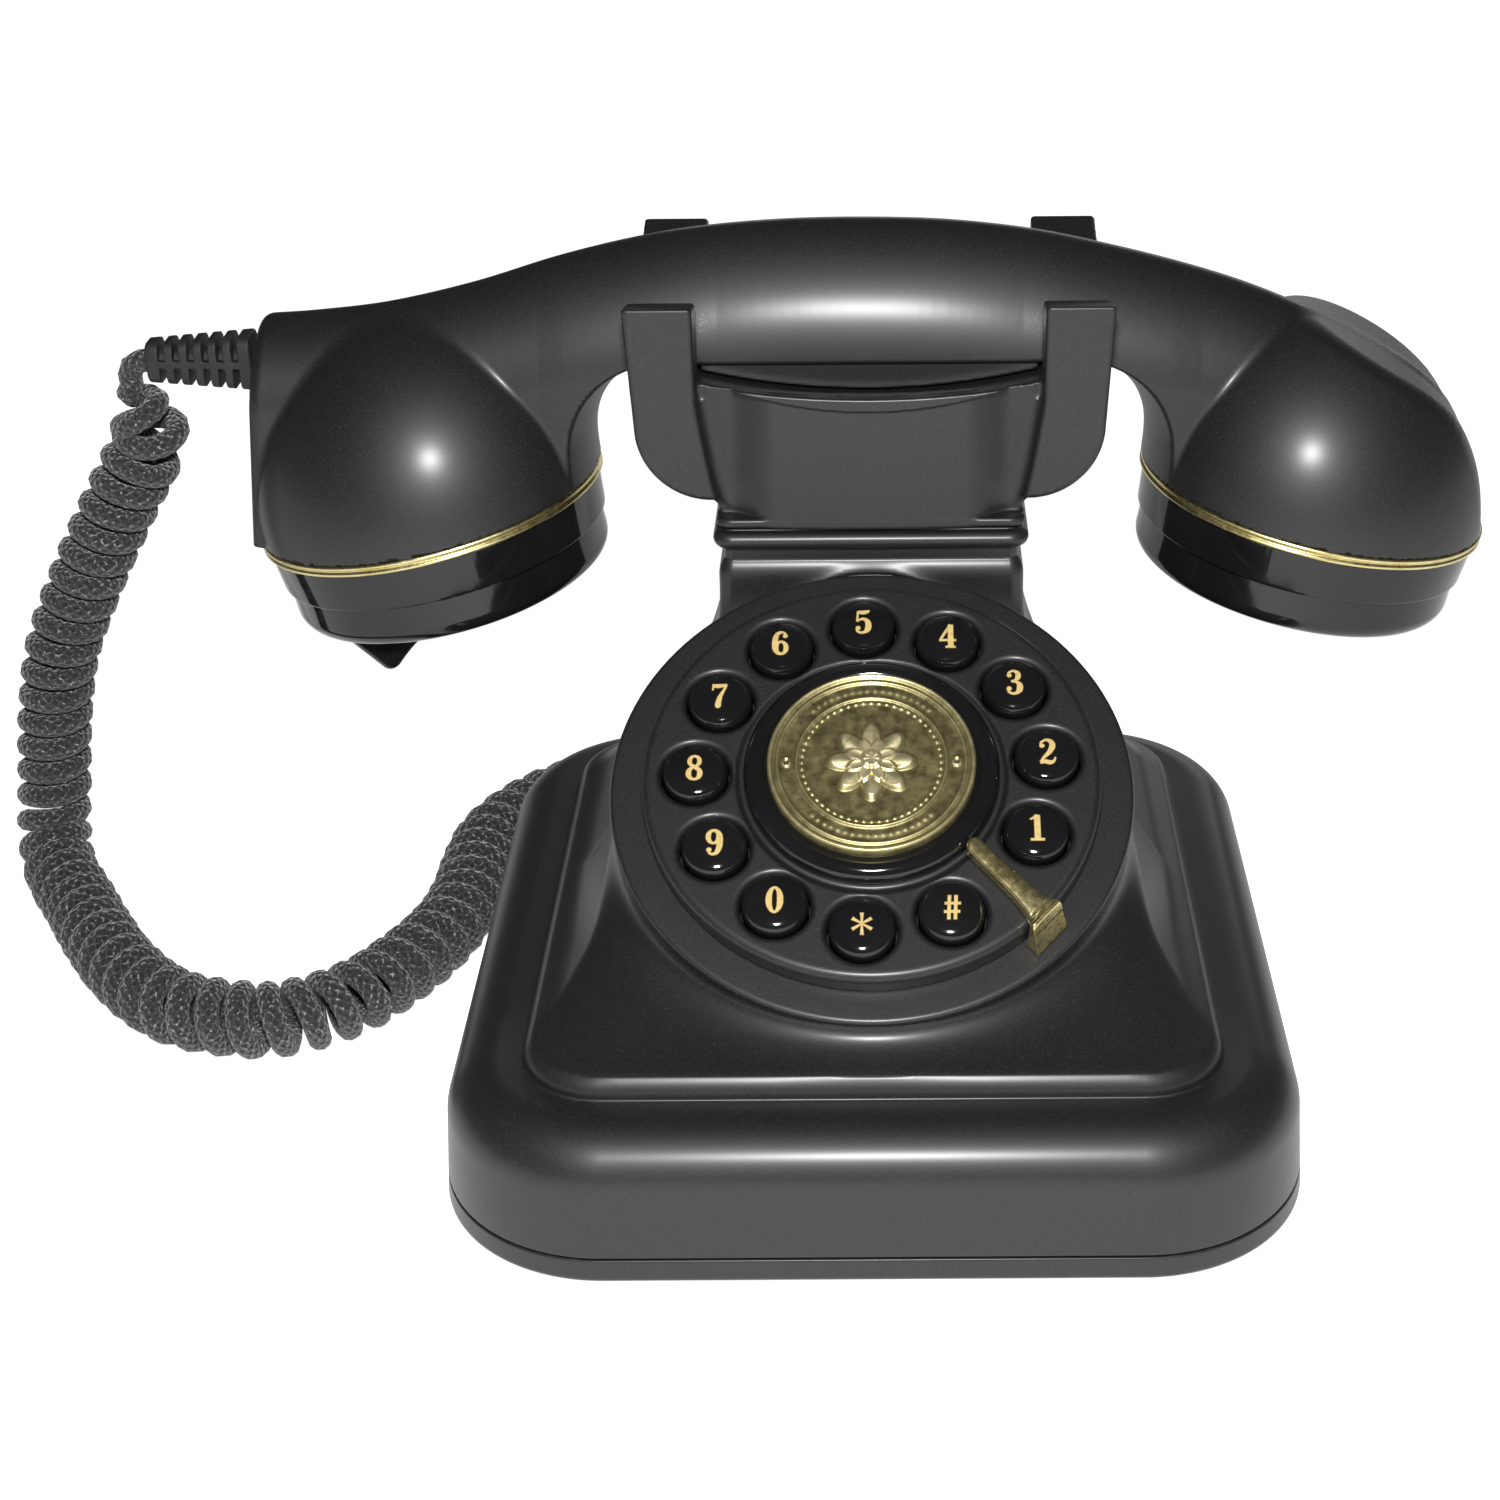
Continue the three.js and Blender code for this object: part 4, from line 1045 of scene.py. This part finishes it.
def handset_field(x, y, z):
    y = np.abs(y - HANDLE["y"])
    width = 17.7 - 1.2 * share_of((np.abs(x) - 20) / 45)**2 - 2.0 * share_of((np.abs(x) - 60) / 60)
    above = above_outline(x, z)
    deep = 24 - 8 * share_of((np.abs(x) - 30) / 80)
    power = 1.75
    reach = (y / width)**power + (np.maximum(above + deep, 0) / deep)**power
    body = (np.maximum(reach, 1e-6)**(1 / power) - 1) * width
    mouth_end = 0.09 * (z - 80) - 127.2 - x
    body = round_and(body, mouth_end, 2.5)
    inner = POD["x"] - np.sqrt(HANDLE["pod_wall"]**2 - np.minimum(y, 24)**2)
    arch = round_rect(x, z - HANDLE["under"] + 60, inner, 60, HANDLE["arch_corner"])
    body = round_cut(body, arch, 0.7)
    for side in (-1, 1):
        ph = to_pod(x, z, side)[1]
        dx, dz = x - side * POD["x"], z - POD["z"] - 0.3
        reach = np.sqrt((dx / POD["dome"])**2 + (y / POD["dome"])**2 + (dz / POD["dome_height"])**2)
        dome = round_and((reach - 1) * POD["dome"], above, 2)
        body = soft_or(body, dome, 1.0)
        floor = np.where(x * side > 0, 0.75 - ph, -99)
        body = np.maximum(body, floor)
        cavity = np.maximum(np.sqrt(dx**2 + y**2 + dz**2) - 31, -ph - 3)
        body = np.maximum(body, -cavity)
    recess = np.maximum(round_rect(x, y, 43, 13, 4), np.abs(z - 126.8) - 2.6)
    body = round_cut(body, recess, 0.5)
    rim = round_and(np.abs(y - 15.2) - 1.3, saddle_valley(x) + 0.6 - z, 0.5)
    rim = np.maximum(np.maximum(rim, np.abs(x) - 33.2), z - 129)
    return np.minimum(body, rim)


def insert_field(x, y, z):
    y = y - HANDLE["y"]
    plate = round_and(round_rect(x, y, 42.6, 12.6, 3.8), np.abs(z - 128) - 1.1, 0.4)
    screws = np.maximum(np.hypot(np.abs(x) - 36, y) - 3, z - 128.2)
    return round_cut(plate, screws, 0.4)


def cap_field(x, y, h, holes):
    low = POD["cap_low"]
    r = np.hypot(x, y)
    upper = round_and(r - 34.4 - 0.8 * (h + 9.9) / 8.9, np.abs(h + 5.45) - 4.45, 0.5)
    lower = np.maximum(round_and(r - 33.4, low - h, 3.6), h + 5)
    body = np.minimum(upper, lower)
    dish = np.hypot(r, h - low + 99) - 100
    body = round_cut(body, dish, 0.5)
    nearest = np.full(np.broadcast(x, y).shape, 99.0)
    for hx, hy in holes:
        nearest = np.minimum(nearest, np.hypot(x - hx, y - hy))
    body = round_cut(body, np.maximum(nearest - 1.25, h - low - 4.8), 0.3)
    inside = np.maximum(r - 30, np.abs(h + 7) - 9.6)
    return np.maximum(body, -inside)


def ring_of_holes(radius, count):
    angles = [2 * math.pi * k / count for k in range(count)]
    return [(radius * math.cos(a), radius * math.sin(a)) for a in angles]


def relief_field(x, y, z):
    """The ribbed sleeve that the cord leaves the handset through, slotted on both sides of a spine."""
    start, end = RELIEF["start"], RELIEF["end"]
    middle = (start + end) / 2
    share = share_of((start - x) / (start - end))
    dz, dy = z - RELIEF["z"], y - HANDLE["y"]
    half = 5.7 - 1.5 * share
    sleeve = round_and(round_rect(dy, dz, 4.4 - share, half, 2.2), np.abs(x - middle) - 10.75, 0.6)
    pitch = RELIEF["pitch"]
    slot = np.abs((x + 999.2) % pitch - pitch / 2) - 0.62
    slot = np.maximum(slot, np.abs(x - middle + 0.4) - 8.8)
    slot = np.maximum(slot, 0.75 - np.abs(dz))
    core = 2.7 - np.hypot(dy, dz)
    return round_cut(sleeve, np.maximum(slot, core), 0.25)


def spout_field(x, y, h):
    """The pointed guard under the front of the mouthpiece."""
    deep = 9.3
    down = np.clip(POD["cap_low"] - h, 0, deep)
    left = -19.5 + 0.52 * down
    right = 1.4 - 13.8 * (down / deep)**0.65
    across = np.maximum(left - x, x - right) * 0.8
    wedge = round_and(across, np.abs(y + 19) - 5 + 0.3 * down, 1.2)
    return round_and(wedge, np.abs(h + 23.4) - 4.9, 0.9)


def add_handset():
    axes = [levels(-129, 129, 0.82), levels(21, 96, 0.82), levels(84, 153, 0.82, [(120, 130, 0.45)])]
    sculpted("handset_body", handset_field, axes, SHELL, "handset", ["handset_shell"])
    axes = [levels(-44, 44, 0.6), levels(44.5, 72.5, 0.6), levels(126, 130.2, 0.3)]
    sculpted("handset_plate", insert_field, axes, SHELL, "handset", ["handset_insert"])
    lower_ridge = [[35.3, -0.95, 0.1], [35.5, -1.35, 0.2], [36.05, -1.35, 0.4], [36.2, -0.75, 0.5]]
    valley = [[35.7, -0.3, 0.25]]
    upper_ridge = [[36.2, 0.15, 0.5], [36.05, 0.8, 0.4], [35.4, 0.8, 0.2]]
    ring = [[33, -0.95], *lower_ridge, *valley, *upper_ridge, [33, 0.72]]
    ring_points, ring_faces = lathe(ring, 128, closed=True)
    ear_holes = [(0, 0)] + ring_of_holes(5, 6) + ring_of_holes(10, 12) + ring_of_holes(15, 18)
    mouth_holes = [(0, 0)] + ring_of_holes(4.5, 6)
    axes = [levels(-36.5, 36.5, 0.62), levels(-36.5, 36.5, 0.62), levels(-20, 0.6, 0.4)]
    for side, end, holes in ((-1, "mouth", mouth_holes), (1, "ear", ear_holes)):
        placed = from_pod(ring_points, side)
        piece("gold_ring_" + end, placed, ring_faces, GOLD, "handset", [end + "_ring"])
        sculpted("cap_" + end, lambda x, y, h: cap_field(x, y, h, holes), axes, GLOSS, "handset",
                 [end + "_cap"], lambda p: from_pod(p, side))
    axes = [levels(-21, 3, 0.4), levels(-25.5, -12.5, 0.4), levels(-29.2, -17.6, 0.4)]
    sculpted("guard", spout_field, axes, GLOSS, "handset", ["mouth_spout"],
             lambda p: from_pod(p, -1))
    axes = [levels(-147.5, -123, 0.3), levels(53, 64, 0.3), levels(115.5, 129.5, 0.3)]
    sleeve = sculpted("sleeve", relief_field, axes, RUBBER, "handset", ["handset_strain_relief"])
    for name in ("handset_weight", "microphone", "receiver"):
        dress(name, STEEL)
    return sleeve


def plug_field(x, y, z):
    x = x + JACK["x"]
    body = box_field(x, y, z, (-3.3, 72, 11), (3.3, 87.4, 16.2), 0.6)
    boot = box_field(x, y, z, (-3.6, 81.5, 10.8), (3.6, 87.6, 16.4), 1.0)
    latch = box_field(x, y, z, (-1.4, 74, 15.5), (1.4, 84, 17.2), 0.4)
    return np.minimum(np.minimum(body, boot), latch)


def add_plug():
    axes = [levels(-48.6, -39.4, 0.35), levels(71, 89, 0.35), levels(9.8, 18, 0.35)]
    return sculpted("plug", plug_field, axes, GLOSS, "base", ["cord_plug"])


# ---- light and floor ----
def add_area(name, place, aim, size, power):
    light = bpy.data.lights.new(name, "AREA")
    light.shape = "RECTANGLE"
    light.size, light.size_y = size
    light.energy = power
    obj = bpy.data.objects.new(name, light)
    bpy.context.scene.collection.objects.link(obj)
    obj.location = place
    obj.rotation_euler = (Vector(aim) - Vector(place)).to_track_quat("-Z", "Y").to_euler()


def add_stage():
    world = bpy.data.worlds.new("studio")
    world.use_nodes = True
    nodes = world.node_tree.nodes
    nodes["Background"].inputs["Color"].default_value = (0.97, 0.98, 1.0, 1)
    path = nodes.new("ShaderNodeLightPath")
    strength = nodes.new("ShaderNodeMapRange")
    strength.inputs["To Min"].default_value = 0.05
    strength.inputs["To Max"].default_value = 1.0
    world.node_tree.links.new(path.outputs["Is Camera Ray"], strength.inputs["Value"])
    world.node_tree.links.new(strength.outputs["Result"], nodes["Background"].inputs["Strength"])
    bpy.context.scene.world = world
    bpy.context.scene.view_settings.view_transform = "Standard"
    add_area("flash", (0.0, -0.40, 0.385), (0, 0.02, 0.06), (0.06, 0.04), 3.4)
    add_area("rear", (0.3, 1.6, 0.4), (0, 0, 0.06), (1.2, 0.4), 2)
    side = 2.5
    mesh = bpy.data.meshes.new("floor")
    corners = [(-side, -side, 0), (side, -side, 0), (side, side, 0), (-side, side, 0)]
    mesh.from_pydata(corners, [], [(0, 1, 2, 3)])
    mesh.materials.append(paper_floor())
    floor = bpy.data.objects.new("floor", mesh)
    bpy.context.scene.collection.objects.link(floor)


add_camera()
cord, cord_path, cord_length = add_cord()
sleeve = add_handset()
plug = add_plug()
add_base()
add_keypad()
add_cradle()
add_stage()
